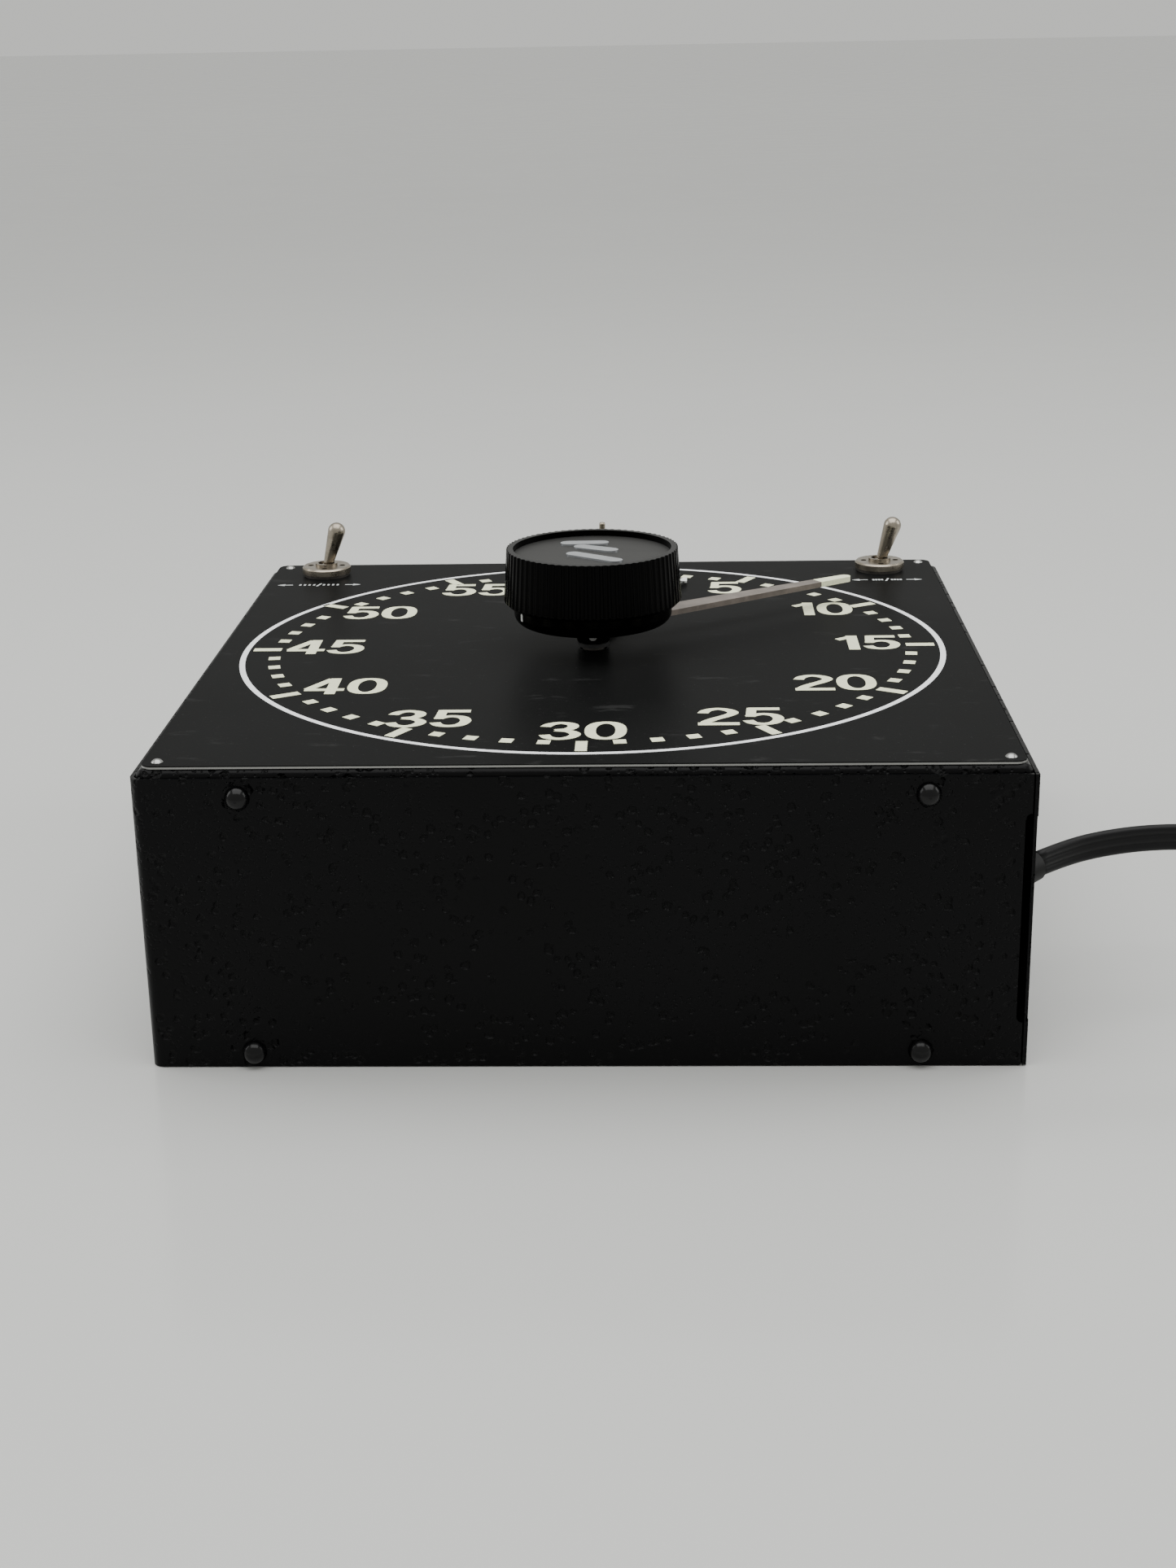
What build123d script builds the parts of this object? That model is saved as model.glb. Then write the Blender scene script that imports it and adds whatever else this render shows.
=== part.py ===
"""Mains interval timer lying on its back: sheet steel case, dial, setting knob, two hands,
two toggle switches, a push switch, the geared movement that turns the hands, and its flat lead.

The origin is on the dial axis at the plane the back rests on. +Z is out of the dial, +X is right,
+Y runs from the side with the feet (numeral 30) to the side with the switches (numeral 60).
"""
import os
from math import atan, cos, degrees, pi, radians, sin, sqrt, tan

from build123d import *

os.makedirs("parts", exist_ok=True)


def save(builder, name):
    """Labels a finished piece and writes it as a STEP file of the same name."""
    builder.part.label = name
    export_step(builder.part, f"parts/{name}.step")


# ------------------------------------------------------------------------------ driving sizes (mm)
# Case
case_width = 222.0  # left to right
case_depth = 222.0  # foot side to switch side
case_height = 77.6  # front edge of the wrapper above the rest plane
sheet = 1.0  # wrapper, front frame and back cover
seat_gap = 0.25  # frame and cover inside the wrapper
wrapper_lift = 0.3  # wrapper's back edge above the rest plane
case_corner = 3.0
seam_gap = 0.4  # between the foot side's free end and the right side
seam_relief = 1.6  # how much further the free end is cut back along its middle
relief_low = 12.0
relief_high = 67.5
frame_rise = 1.8  # face of the front frame above the wrapper's edge
frame_bend = 2.2
frame_skirt = 14.0
cover_skirt = 10.0

# Dial
dial_size = 217.0
dial_thickness = 0.8
dial_corner = 3.0
dial_hole_gap = 0.7
dial_screw_inset = 3.7
dial_screw_head = 1.5
dial_screw_dome = 0.8
dial_screw_shank = 0.9
dial_screw_length = 5.0

# Feet
foot_radius = 3.15
foot_height = 3.0
foot_stem = 1.5
foot_inset = 26.6  # from the left and right sides
foot_back = 4.4  # above the rest plane
foot_front = 5.0  # below the wrapper's front edge

# Fits
running = 0.05  # radial, shaft in bush
clear = 0.3  # between pieces that pass each other
thread_gap = 0.05

# Movement
movement_drop = 3.0  # space between the front frame and the movement
movement_plate = 2.0
movement_space = 23.4  # between the two movement plates
movement_left = 70.0
movement_right = 40.0
movement_half_depth = 42.0
pillar_radius = 3.5
pillar_inset = 6.0
pillar_bore = 1.3
arbor_radius = 2.0
tube_wall = 1.15
bush_wall = 2.25
small_arbor = 1.5
small_bush_wall = 1.65
gear_distance = 34.0  # centre arbor to intermediate arbor
pinion_teeth = 12
first_wheel_teeth = 90
minute_wheel_teeth = 96
drive_wheel_teeth = 60
drive_module = 0.8
wheel_thickness = 1.6
pinion_height = 2.4
wheel_addendum = 0.7  # in modules
pinion_addendum = 1.0
backlash = 0.12
pressure_angle = radians(20)

# Hands and knob
minute_hand_thickness = 0.6
minute_hand_lift = 0.8  # above the dial
minute_hand_length = 86.0
minute_hand_angle = 18.9  # degrees clockwise from 60
minute_arrow_width = 3.9
minute_arrow_length = 6.0
minute_blade_width = 2.4
minute_boss = 4.6
sweep_hand_lift = 6.4  # underside above the dial
sweep_hand_thickness = 1.6
sweep_hand_skin = 0.6
sweep_hand_length = 94.2
sweep_hand_angle = 55.6
sweep_root_width = 8.6
sweep_tip_width = 3.6
sweep_hub = 12.0
knob_hub = 5.5
knob_hub_foot = 4.7
drum_radius = 22.7
drum_height = 6.8
drum_round = 3.0
grip_foot_radius = 25.5
grip_top_radius = 24.5
grip_height = 14.8
rim_height = 0.3
rim_width = 1.9
recess_depth = 2.3
flute_count = 72
flute_radius = 0.85
flute_depth = 0.45
knob_disc_thickness = 0.6
badge_height = 0.5
knob_screw = 1.2

# Toggle switches
toggle_inset_x = 20.0  # from the case's left and right sides
toggle_inset_y = 16.4  # from the case's far side
toggle_bushing = 5.95
toggle_bore = 2.7
toggle_washer = 1.0
toggle_nut = 7.95
toggle_nut_height = 2.2
toggle_nut_skin = 1.0
toggle_boss = 3.6
toggle_boss_height = 0.9
toggle_body_x = 28.0
toggle_body_y = 17.0
toggle_body_z = 22.0
toggle_tilt = 17.0
lever_length = 13.4
lever_tip = 2.85
lever_neck = 1.35
lever_ball = 2.3
lever_pin = 0.8
lever_stub = 7.0
lever_pivot_lift = 0.8  # above the foot of the nut

# Push switch
push_inset = 6.2  # from the case's far side
push_rod = 1.0
push_rise = 14.5
push_travel = 3.0
push_bushing = 2.6
push_nut = 3.6
push_body = 3.8

# Lead
lead_width = 7.4
lead_mouth = (6.9, -69.2, 38.2)  # x from the right side
lead_first = (16.0, -61.9, 39.1)
guard_flange = 3.0
guard_inside = 12.0
coil_radius = 40.0
coil_columns = 2
coil_layers = 2
coil_out = 153.0  # centre of the coil, from the right side
tie_thickness = 0.8
tie_arc = 10.0
tie_angle = 150.0
plug_radius = 12.0
plug_body = 20.0
plug_neck = 16.0
plug_collar = 5.2

# ------------------------------------------------------------------------------ worked out from them
half_x = case_width / 2
half_y = case_depth / 2
frame_top = case_height + frame_rise
frame_under = frame_top - sheet
frame_x = half_x - sheet - seat_gap
frame_y = half_y - sheet - seat_gap
dial_top = frame_top + dial_thickness
foot_front_z = case_height - foot_front
foot_spots = [
    (side * (half_x - foot_inset), z) for side in (-1, 1) for z in (foot_back, foot_front_z)
]

plate_top = frame_under - movement_drop
plate_under = plate_top - movement_plate
back_plate_top = plate_under - movement_space
back_plate_under = back_plate_top - movement_plate
pillar_spots = [
    (x, y)
    for x in (pillar_inset - movement_left, movement_right - pillar_inset)
    for y in (pillar_inset - movement_half_depth, movement_half_depth - pillar_inset)
]

tube_bore = arbor_radius + running
tube_radius = tube_bore + tube_wall
bush_bore = tube_radius + running
bush_radius = bush_bore + bush_wall
small_bush = small_arbor + running + small_bush_wall
first_module = 2 * gear_distance / (pinion_teeth + first_wheel_teeth)
minute_module = 2 * gear_distance / (pinion_teeth + minute_wheel_teeth)
drive_distance = drive_module * (pinion_teeth + drive_wheel_teeth) / 2
motor_y = -drive_distance

cam_top = plate_under - 1.0
cam_thickness = 1.8
minute_wheel_z = cam_top - cam_thickness - wheel_thickness
minute_tube_foot = minute_wheel_z - 1.2
first_wheel_z = minute_tube_foot - 4.4
drive_wheel_z = first_wheel_z - 8.0
pinion_overlap = (pinion_height - wheel_thickness) / 2

minute_hand_z = dial_top + minute_hand_lift
minute_hand_top = minute_hand_z + minute_hand_thickness
tube_top = minute_hand_top + 0.5
hub_foot_z = tube_top + clear
sweep_z = dial_top + sweep_hand_lift
drum_z = sweep_z + sweep_hand_thickness
grip_z = drum_z + drum_height
knob_top = grip_z + grip_height
recess_floor = knob_top - recess_depth
arbor_top = recess_floor - 3.0

toggle_y = half_y - toggle_inset_y
toggle_x = half_x - toggle_inset_x
pivot_z = dial_top + toggle_washer + lever_pivot_lift
push_y = half_y - push_inset

lead_radius = lead_width / 2
guard_mouth = Vector(half_x + lead_mouth[0], *lead_mouth[1:])
guard_way = (Vector(*lead_first) - Vector(*lead_mouth)).normalized()
guard_root = guard_mouth - guard_way * (lead_mouth[0] / guard_way.X)


# ------------------------------------------------------------------------------ shared outlines
def dome_radius(reach, rise):
    """Gives the radius of the ball whose cap has the given radius and height."""
    return (reach**2 + rise**2) / (2 * rise)


def toothed_outline(teeth, module, addendum, mate_addendum, phase):
    """Adds a wheel's outline: involute flanks, radial below the base circle, a tooth at phase."""
    pitch = module * teeth / 2
    base = pitch * cos(pressure_angle)
    tip = pitch + addendum * module
    root = pitch - (mate_addendum + 0.25) * module
    start = max(base, root)
    inv_pitch = tan(pressure_angle) - pressure_angle
    half_tooth = pi / (2 * teeth) - backlash * module / (2 * pitch)
    flank = []
    for step in range(4):
        radius = start + (tip - start) * step / 3
        turn = sqrt(max((radius / base) ** 2 - 1, 0))
        flank.append((radius, half_tooth + inv_pitch - (turn - atan(turn))))
    if root < base:
        flank.insert(0, (root, flank[0][1]))
    points = []
    for tooth in range(teeth):
        centre = phase + 2 * pi * tooth / teeth
        side = [(radius, centre - angle) for radius, angle in flank]
        side += [(radius, centre + angle) for radius, angle in reversed(flank)]
        points += [(radius * cos(angle), radius * sin(angle)) for radius, angle in side]
    Polygon(*points, align=None)


def hand_blade(root_width, tip_width, root, tip):
    """Adds a tapering blade along +Y from root to a rounded tip."""
    end = tip - tip_width / 2
    foot = [(-root_width / 2, root), (root_width / 2, root)]
    Polygon((-tip_width / 2, end), *foot, (tip_width / 2, end), align=None)
    with Locations((0, end)):
        Circle(tip_width / 2)


# ------------------------------------------------------------------------------ case
right_wall = Plane(origin=(half_x, 0, 0), x_dir=(0, 1, 0), z_dir=(1, 0, 0))
near_wall = Plane(origin=(0, -half_y, 0), x_dir=(1, 0, 0), z_dir=(0, -1, 0))

outlet_spots = [(-18.0, case_height / 2), (36.0, case_height / 2)]
outlet_width = 34.0
outlet_height = 28.0
outlet_depth = 26.0
outlet_lip = 1.2
guard_bore = 4.6

with BuildPart() as case_wrapper:
    with BuildSketch(Plane.XY.offset(wrapper_lift)):
        Rectangle(case_width, case_depth)
        near_left = vertices().group_by(Axis.Y)[0].sort_by(Axis.X)[0]
        fillet([near_left, *vertices().group_by(Axis.Y)[-1]], radius=case_corner)
        with BuildSketch(mode=Mode.SUBTRACT):
            Rectangle(case_width - 2 * sheet, case_depth - 2 * sheet)
            near_left = vertices().group_by(Axis.Y)[0].sort_by(Axis.X)[0]
            fillet([near_left, *vertices().group_by(Axis.Y)[-1]], radius=case_corner - sheet)
        with Locations((half_x - sheet - seam_gap / 2, sheet / 2 - half_y)):
            Rectangle(seam_gap, sheet, mode=Mode.SUBTRACT)
    extrude(amount=case_height - wrapper_lift)
    with BuildSketch(near_wall):
        with Locations((half_x - sheet - seam_gap, (relief_low + relief_high) / 2)):
            SlotOverall(relief_high - relief_low, 2 * seam_relief, rotation=90)
        with Locations((half_x - sheet, (relief_low + relief_high) / 2)):
            Rectangle(2 * seam_gap, relief_high - relief_low, mode=Mode.SUBTRACT)
        with Locations(*foot_spots):
            Circle(foot_stem + thread_gap)
    extrude(amount=-sheet, mode=Mode.SUBTRACT)
    with BuildSketch(right_wall):
        with Locations(*outlet_spots):
            RectangleRounded(outlet_width + 2 * thread_gap, outlet_height + 2 * thread_gap, 4 + thread_gap)
        with Locations((guard_root.Y, guard_root.Z)):
            Circle(guard_bore + thread_gap)
    extrude(amount=-sheet, mode=Mode.SUBTRACT)
save(case_wrapper, "case_wrapper")

dial_screw_spots = [
    (x * (dial_size / 2 - dial_screw_inset), y * (dial_size / 2 - dial_screw_inset))
    for x in (-1, 1)
    for y in (-1, 1)
]

with BuildPart() as front_frame:
    with BuildSketch(Plane.XY.offset(frame_top - frame_skirt)):
        RectangleRounded(2 * frame_x, 2 * frame_y, case_corner - sheet)
    extrude(amount=frame_skirt)
    fillet(edges().group_by(Axis.Z)[-1], radius=frame_bend)
    with BuildSketch(Plane.XY.offset(frame_top - frame_skirt)):
        RectangleRounded(2 * frame_x - 2 * sheet, 2 * frame_y - 2 * sheet, case_corner - 2 * sheet)
    extrude(amount=frame_skirt - sheet, mode=Mode.SUBTRACT)
    with BuildSketch(Plane.XY.offset(frame_under)):
        Circle(bush_radius + 1)
        with Locations((-toggle_x, toggle_y), (toggle_x, toggle_y)):
            Circle(toggle_bushing + thread_gap)
        with Locations((0, push_y)):
            Circle(push_bushing + thread_gap)
        with Locations(*dial_screw_spots):
            Circle(dial_screw_shank + thread_gap)
        with Locations(*pillar_spots):
            Circle(pillar_bore)
    extrude(amount=sheet, mode=Mode.SUBTRACT)
    with BuildSketch(near_wall):
        with Locations(*[(x, z) for x, z in foot_spots if z == foot_front_z]):
            Circle(foot_stem + thread_gap)
    extrude(amount=-2 * sheet - 2 * seat_gap, mode=Mode.SUBTRACT)
save(front_frame, "front_frame")

post_radius = 3.5
post_inset = 10.0
post_spots = [
    (x * (half_x - post_inset), y) for x in (-1, 1) for y in (post_inset + 1 - half_y, half_y - 39.0)
]
cover_screw_head = 3.0
cover_screw_shank = 1.5
cover_screw_length = 8.0
cover_screw_cone = cover_screw_head - cover_screw_shank

with BuildPart() as back_cover:
    with BuildSketch():
        RectangleRounded(2 * frame_x, 2 * frame_y, case_corner - sheet)
    extrude(amount=cover_skirt)
    with BuildSketch(Plane.XY.offset(sheet)):
        RectangleRounded(2 * frame_x - 2 * sheet, 2 * frame_y - 2 * sheet, case_corner - 2 * sheet)
    extrude(amount=cover_skirt, mode=Mode.SUBTRACT)
    with BuildSketch(near_wall):
        with Locations(*[(x, z) for x, z in foot_spots if z == foot_back]):
            Circle(foot_stem + thread_gap)
    extrude(amount=-2 * sheet - 2 * seat_gap, mode=Mode.SUBTRACT)
    with BuildSketch():
        with Locations(*post_spots):
            Circle(cover_screw_head)
    extrude(amount=sheet, taper=degrees(atan(cover_screw_cone / sheet / 1.5)), mode=Mode.SUBTRACT)
save(back_cover, "back_cover")

screw_waist = cover_screw_head - sheet * tan(atan(cover_screw_cone / sheet / 1.5))
with BuildPart() as cover_screws:
    with BuildSketch():
        with Locations(*post_spots):
            Circle(cover_screw_head)
    extrude(amount=sheet, taper=degrees(atan(cover_screw_cone / sheet / 1.5)))
    with BuildSketch(Plane.XY.offset(sheet)):
        with Locations(*post_spots):
            Circle(cover_screw_shank)
    extrude(amount=cover_screw_length)
    with BuildSketch():
        with Locations(*post_spots):
            Rectangle(2 * screw_waist, 0.8)
    extrude(amount=0.6, mode=Mode.SUBTRACT)
save(cover_screws, "cover_screws")

with BuildPart() as corner_posts:
    with BuildSketch(Plane.XY.offset(sheet)):
        with Locations(*post_spots):
            Circle(post_radius)
    extrude(amount=frame_under - sheet)
    with BuildSketch(Plane.XY.offset(sheet)):
        with Locations(*post_spots):
            Circle(cover_screw_shank + thread_gap)
    extrude(amount=cover_screw_length + 2, mode=Mode.SUBTRACT)
save(corner_posts, "corner_posts")

foot_stem_length = 2 * sheet + seat_gap + 1.0
with BuildPart() as one_foot:
    with BuildSketch(Plane.XY):
        with BuildLine():
            Polyline(
                (0, -foot_height),
                (0, foot_stem_length),
                (foot_stem, foot_stem_length),
                (foot_stem, 0),
                (foot_radius, 0),
            )
            RadiusArc((foot_radius, 0), (0, -foot_height), dome_radius(foot_radius, foot_height))
        make_face()
    revolve(axis=Axis.Y)

with BuildPart() as foot_pads:
    with Locations(*[(x, -half_y, z) for x, z in foot_spots]):
        add(one_foot.part)
save(foot_pads, "foot_pads")

# ------------------------------------------------------------------------------ dial
with BuildPart() as dial_plate:
    with BuildSketch(Plane.XY.offset(frame_top)):
        RectangleRounded(dial_size, dial_size, dial_corner)
        Circle(tube_radius + dial_hole_gap, mode=Mode.SUBTRACT)
        with Locations((-toggle_x, toggle_y), (toggle_x, toggle_y)):
            Circle(toggle_bushing + thread_gap, mode=Mode.SUBTRACT)
        with Locations((0, push_y)):
            Circle(push_bushing + thread_gap, mode=Mode.SUBTRACT)
        with Locations(*dial_screw_spots):
            Circle(dial_screw_shank + thread_gap, mode=Mode.SUBTRACT)
    extrude(amount=dial_thickness)
save(dial_plate, "dial_plate")

with BuildPart() as one_dial_screw:
    with BuildSketch(Plane.XZ):
        with BuildLine():
            Polyline(
                (0, dial_screw_dome),
                (0, -dial_screw_length),
                (dial_screw_shank, -dial_screw_length),
                (dial_screw_shank, 0),
                (dial_screw_head, 0),
            )
            RadiusArc(
                (dial_screw_head, 0), (0, dial_screw_dome), -dome_radius(dial_screw_head, dial_screw_dome)
            )
        make_face()
    revolve(axis=Axis.Z)

with BuildPart() as dial_screws:
    with Locations(*[(x, y, dial_top) for x, y in dial_screw_spots]):
        add(one_dial_screw.part)
save(dial_screws, "dial_screws")

# ------------------------------------------------------------------------------ movement frame
movement_centre = (movement_right - movement_left) / 2
movement_width = movement_left + movement_right
intermediate = (-gear_distance, 0)


def movement_plate_outline():
    """Adds the outline that both movement plates share, drilled for pillars and arbors."""
    with Locations((movement_centre, 0)):
        RectangleRounded(movement_width, 2 * movement_half_depth, pillar_radius)
    with Locations(*pillar_spots):
        Circle(pillar_bore, mode=Mode.SUBTRACT)
    with Locations(intermediate):
        Circle(small_bush, mode=Mode.SUBTRACT)


with BuildPart() as movement_front_plate:
    with BuildSketch(Plane.XY.offset(plate_under)):
        movement_plate_outline()
        Circle(bush_radius, mode=Mode.SUBTRACT)
    extrude(amount=movement_plate)
save(movement_front_plate, "movement_front_plate")

back_bush = arbor_radius + running + bush_wall
with BuildPart() as movement_back_plate:
    with BuildSketch(Plane.XY.offset(back_plate_under)):
        movement_plate_outline()
        Circle(back_bush, mode=Mode.SUBTRACT)
        with Locations((0, motor_y)):
            Circle(small_arbor + 1, mode=Mode.SUBTRACT)
    extrude(amount=movement_plate)
save(movement_back_plate, "movement_back_plate")

pillar_thread = 6.0
with BuildPart() as movement_pillars:
    with BuildSketch(Plane.XY.offset(back_plate_top)):
        with Locations(*pillar_spots):
            Circle(pillar_radius)
    extrude(amount=movement_space)
    with BuildSketch(Plane.XY.offset(back_plate_top)):
        with Locations(*pillar_spots):
            Circle(pillar_bore)
    extrude(amount=pillar_thread, mode=Mode.SUBTRACT)
    with BuildSketch(Plane.XY.offset(plate_under)):
        with Locations(*pillar_spots):
            Circle(pillar_bore)
    extrude(amount=-pillar_thread, mode=Mode.SUBTRACT)
save(movement_pillars, "movement_pillars")

with BuildPart() as movement_studs:
    with BuildSketch(Plane.XY.offset(plate_top)):
        with Locations(*pillar_spots):
            RegularPolygon(pillar_radius, 6)
    extrude(amount=movement_drop)
    with BuildSketch(Plane.XY.offset(plate_under - pillar_thread + 1)):
        with Locations(*pillar_spots):
            Circle(pillar_bore - thread_gap)
    extrude(amount=frame_top - plate_under + pillar_thread - 1)
save(movement_studs, "movement_studs")

screw_head_height = 1.8
with BuildPart() as pillar_screws:
    with BuildSketch(Plane.XY.offset(back_plate_under - screw_head_height)):
        with Locations(*pillar_spots):
            Circle(pillar_bore * 2.2)
    extrude(amount=screw_head_height)
    with BuildSketch(Plane.XY.offset(back_plate_under - screw_head_height)):
        with Locations(*pillar_spots):
            Rectangle(pillar_bore * 5, 0.8)
    extrude(amount=0.8, mode=Mode.SUBTRACT)
    with BuildSketch(Plane.XY.offset(back_plate_under)):
        with Locations(*pillar_spots):
            Circle(pillar_bore - thread_gap)
    extrude(amount=movement_plate + pillar_thread - 1)
save(pillar_screws, "pillar_screws")

bush_stand = 0.5
with BuildPart() as centre_bush:
    with BuildSketch(Plane.XY.offset(plate_under - bush_stand)):
        Circle(bush_radius)
        Circle(bush_bore, mode=Mode.SUBTRACT)
    extrude(amount=movement_plate + 2 * bush_stand)
save(centre_bush, "centre_bush")

with BuildPart() as back_arbor_bush:
    with BuildSketch(Plane.XY.offset(back_plate_under - bush_stand)):
        Circle(back_bush)
        Circle(arbor_radius + running, mode=Mode.SUBTRACT)
    extrude(amount=movement_plate + 2 * bush_stand)
save(back_arbor_bush, "back_arbor_bush")

with BuildPart() as intermediate_bushes:
    for base in (plate_under, back_plate_under):
        with BuildSketch(Plane.XY.offset(base - bush_stand)):
            with Locations(intermediate):
                Circle(small_bush)
                Circle(small_arbor + running, mode=Mode.SUBTRACT)
        extrude(amount=movement_plate + 2 * bush_stand)
save(intermediate_bushes, "intermediate_bushes")

# ------------------------------------------------------------------------------ movement: moving pieces
with BuildPart() as centre_arbor:
    with BuildSketch(Plane.XY.offset(back_plate_under - 1)):
        Circle(arbor_radius)
    extrude(amount=arbor_top - back_plate_under + 1)
save(centre_arbor, "centre_arbor")

with BuildPart() as centre_pinion:
    with BuildSketch(Plane.XY.offset(first_wheel_z - pinion_overlap)):
        toothed_outline(pinion_teeth, first_module, pinion_addendum, wheel_addendum, pi)
        Circle(arbor_radius, mode=Mode.SUBTRACT)
    extrude(amount=pinion_height)
save(centre_pinion, "centre_pinion")

hub_radius = 6.0
with BuildPart() as drive_wheel:
    with BuildSketch(Plane.XY.offset(drive_wheel_z)):
        toothed_outline(drive_wheel_teeth, drive_module, wheel_addendum, pinion_addendum, -pi / 2)
        Circle(arbor_radius, mode=Mode.SUBTRACT)
        with PolarLocations(0.55 * drive_module * drive_wheel_teeth / 2, 5):
            Circle(4.0, mode=Mode.SUBTRACT)
    extrude(amount=wheel_thickness)
save(drive_wheel, "drive_wheel")

with BuildPart() as drive_hub:
    with BuildSketch(Plane.XY.offset(back_plate_top + bush_stand + clear)):
        Circle(hub_radius)
        Circle(arbor_radius, mode=Mode.SUBTRACT)
    extrude(amount=drive_wheel_z - back_plate_top - bush_stand - clear)
save(drive_hub, "drive_hub")

spring_dish = 1.0
with BuildPart() as clutch_spring:
    with BuildSketch(Plane.XZ):
        with BuildLine():
            Polyline(
                (arbor_radius, drive_wheel_z + wheel_thickness + spring_dish),
                (hub_radius + 2, drive_wheel_z + wheel_thickness),
                (hub_radius + 2, drive_wheel_z + wheel_thickness + 0.4),
                (arbor_radius, drive_wheel_z + wheel_thickness + spring_dish + 0.4),
                close=True,
            )
        make_face()
    revolve(axis=Axis.Z)
save(clutch_spring, "clutch_spring")

with BuildPart() as minute_tube:
    with BuildSketch(Plane.XY.offset(minute_tube_foot)):
        Circle(tube_radius)
        Circle(tube_bore, mode=Mode.SUBTRACT)
    extrude(amount=tube_top - minute_tube_foot)
save(minute_tube, "minute_tube")

with BuildPart() as minute_wheel:
    with BuildSketch(Plane.XY.offset(minute_wheel_z)):
        toothed_outline(
            minute_wheel_teeth, minute_module, wheel_addendum, pinion_addendum, pi + pi / minute_wheel_teeth
        )
        Circle(tube_radius, mode=Mode.SUBTRACT)
        with PolarLocations(0.6 * minute_module * minute_wheel_teeth / 2, 5):
            Circle(5.5, mode=Mode.SUBTRACT)
    extrude(amount=wheel_thickness)
save(minute_wheel, "minute_wheel")

cam_radius = 11.0
cam_notch = 1.6
with BuildPart() as zero_cam:
    with BuildSketch(Plane.XY.offset(cam_top - cam_thickness)):
        Circle(cam_radius)
        Circle(tube_radius, mode=Mode.SUBTRACT)
        with Locations((0, cam_radius)):
            Circle(cam_notch, mode=Mode.SUBTRACT)
    extrude(amount=cam_thickness)
save(zero_cam, "zero_cam")

with BuildPart() as intermediate_arbor:
    with BuildSketch(Plane.XY.offset(back_plate_under - 1)):
        with Locations(intermediate):
            Circle(small_arbor)
    extrude(amount=plate_top - back_plate_under + 1 + 1)
save(intermediate_arbor, "intermediate_arbor")

intermediate_axis = Plane(origin=(-gear_distance, 0, 0))
with BuildPart() as intermediate_wheel:
    with BuildSketch(intermediate_axis.offset(first_wheel_z)):
        toothed_outline(
            first_wheel_teeth, first_module, wheel_addendum, pinion_addendum, pi / first_wheel_teeth
        )
        Circle(small_arbor, mode=Mode.SUBTRACT)
        with PolarLocations(0.6 * first_module * first_wheel_teeth / 2, 5):
            Circle(5.5, mode=Mode.SUBTRACT)
    extrude(amount=wheel_thickness)
save(intermediate_wheel, "intermediate_wheel")

with BuildPart() as intermediate_pinion:
    with BuildSketch(intermediate_axis.offset(minute_wheel_z - pinion_overlap)):
        toothed_outline(pinion_teeth, minute_module, pinion_addendum, wheel_addendum, 0)
        Circle(small_arbor, mode=Mode.SUBTRACT)
    extrude(amount=pinion_height)
save(intermediate_pinion, "intermediate_pinion")

# ------------------------------------------------------------------------------ motor
motor_radius = 24.0
motor_depth = 22.0
motor_seat = 4.0
motor_axis = Plane(origin=(0, motor_y, 0))
with BuildPart() as motor_case:
    with BuildSketch(motor_axis.offset(back_plate_under - motor_depth)):
        Circle(motor_radius)
    extrude(amount=motor_depth)
    rim = edges().filter_by(GeomType.CIRCLE).group_by(Axis.Z)[0]
    fillet(rim, radius=1.5)
    with BuildSketch(motor_axis.offset(back_plate_under)):
        Circle(small_arbor + running)
    extrude(amount=-motor_seat - clear, mode=Mode.SUBTRACT)
save(motor_case, "motor_case")

coil_depth = 8.0
with BuildPart() as motor_coil:
    with BuildSketch(motor_axis.offset(back_plate_under - motor_depth - coil_depth)):
        Circle(motor_radius - 3)
        Circle(motor_radius / 3, mode=Mode.SUBTRACT)
    extrude(amount=coil_depth)
save(motor_coil, "motor_coil")

with BuildPart() as motor_shaft:
    with BuildSketch(motor_axis.offset(back_plate_under - motor_seat)):
        Circle(small_arbor)
    extrude(amount=drive_wheel_z + wheel_thickness + pinion_overlap + 0.4 - back_plate_under + motor_seat)
save(motor_shaft, "motor_shaft")

with BuildPart() as motor_pinion:
    with BuildSketch(motor_axis.offset(drive_wheel_z - pinion_overlap)):
        toothed_outline(
            pinion_teeth, drive_module, pinion_addendum, wheel_addendum, pi / 2 + pi / pinion_teeth
        )
        Circle(small_arbor, mode=Mode.SUBTRACT)
    extrude(amount=pinion_height)
save(motor_pinion, "motor_pinion")

# ------------------------------------------------------------------------------ hands
minute_plane = Plane.XY.offset(minute_hand_z).rotated((0, 0, -minute_hand_angle))
arrow_foot = minute_hand_length - minute_arrow_length
with BuildPart() as minute_hand:
    with BuildSketch(minute_plane):
        Circle(minute_boss)
        with Locations((0, arrow_foot / 2)):
            Rectangle(minute_blade_width, arrow_foot)
        with BuildLine():
            Polyline(
                (-minute_arrow_width / 2, arrow_foot),
                (minute_arrow_width / 2, arrow_foot),
                (0, minute_hand_length),
                close=True,
            )
        make_face()
        Circle(tube_radius, mode=Mode.SUBTRACT)
    extrude(amount=minute_hand_thickness)
    with BuildSketch(minute_plane):
        Circle(minute_boss)
        Circle(tube_radius, mode=Mode.SUBTRACT)
    extrude(amount=tube_top - minute_hand_z)
save(minute_hand, "minute_hand")

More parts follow.
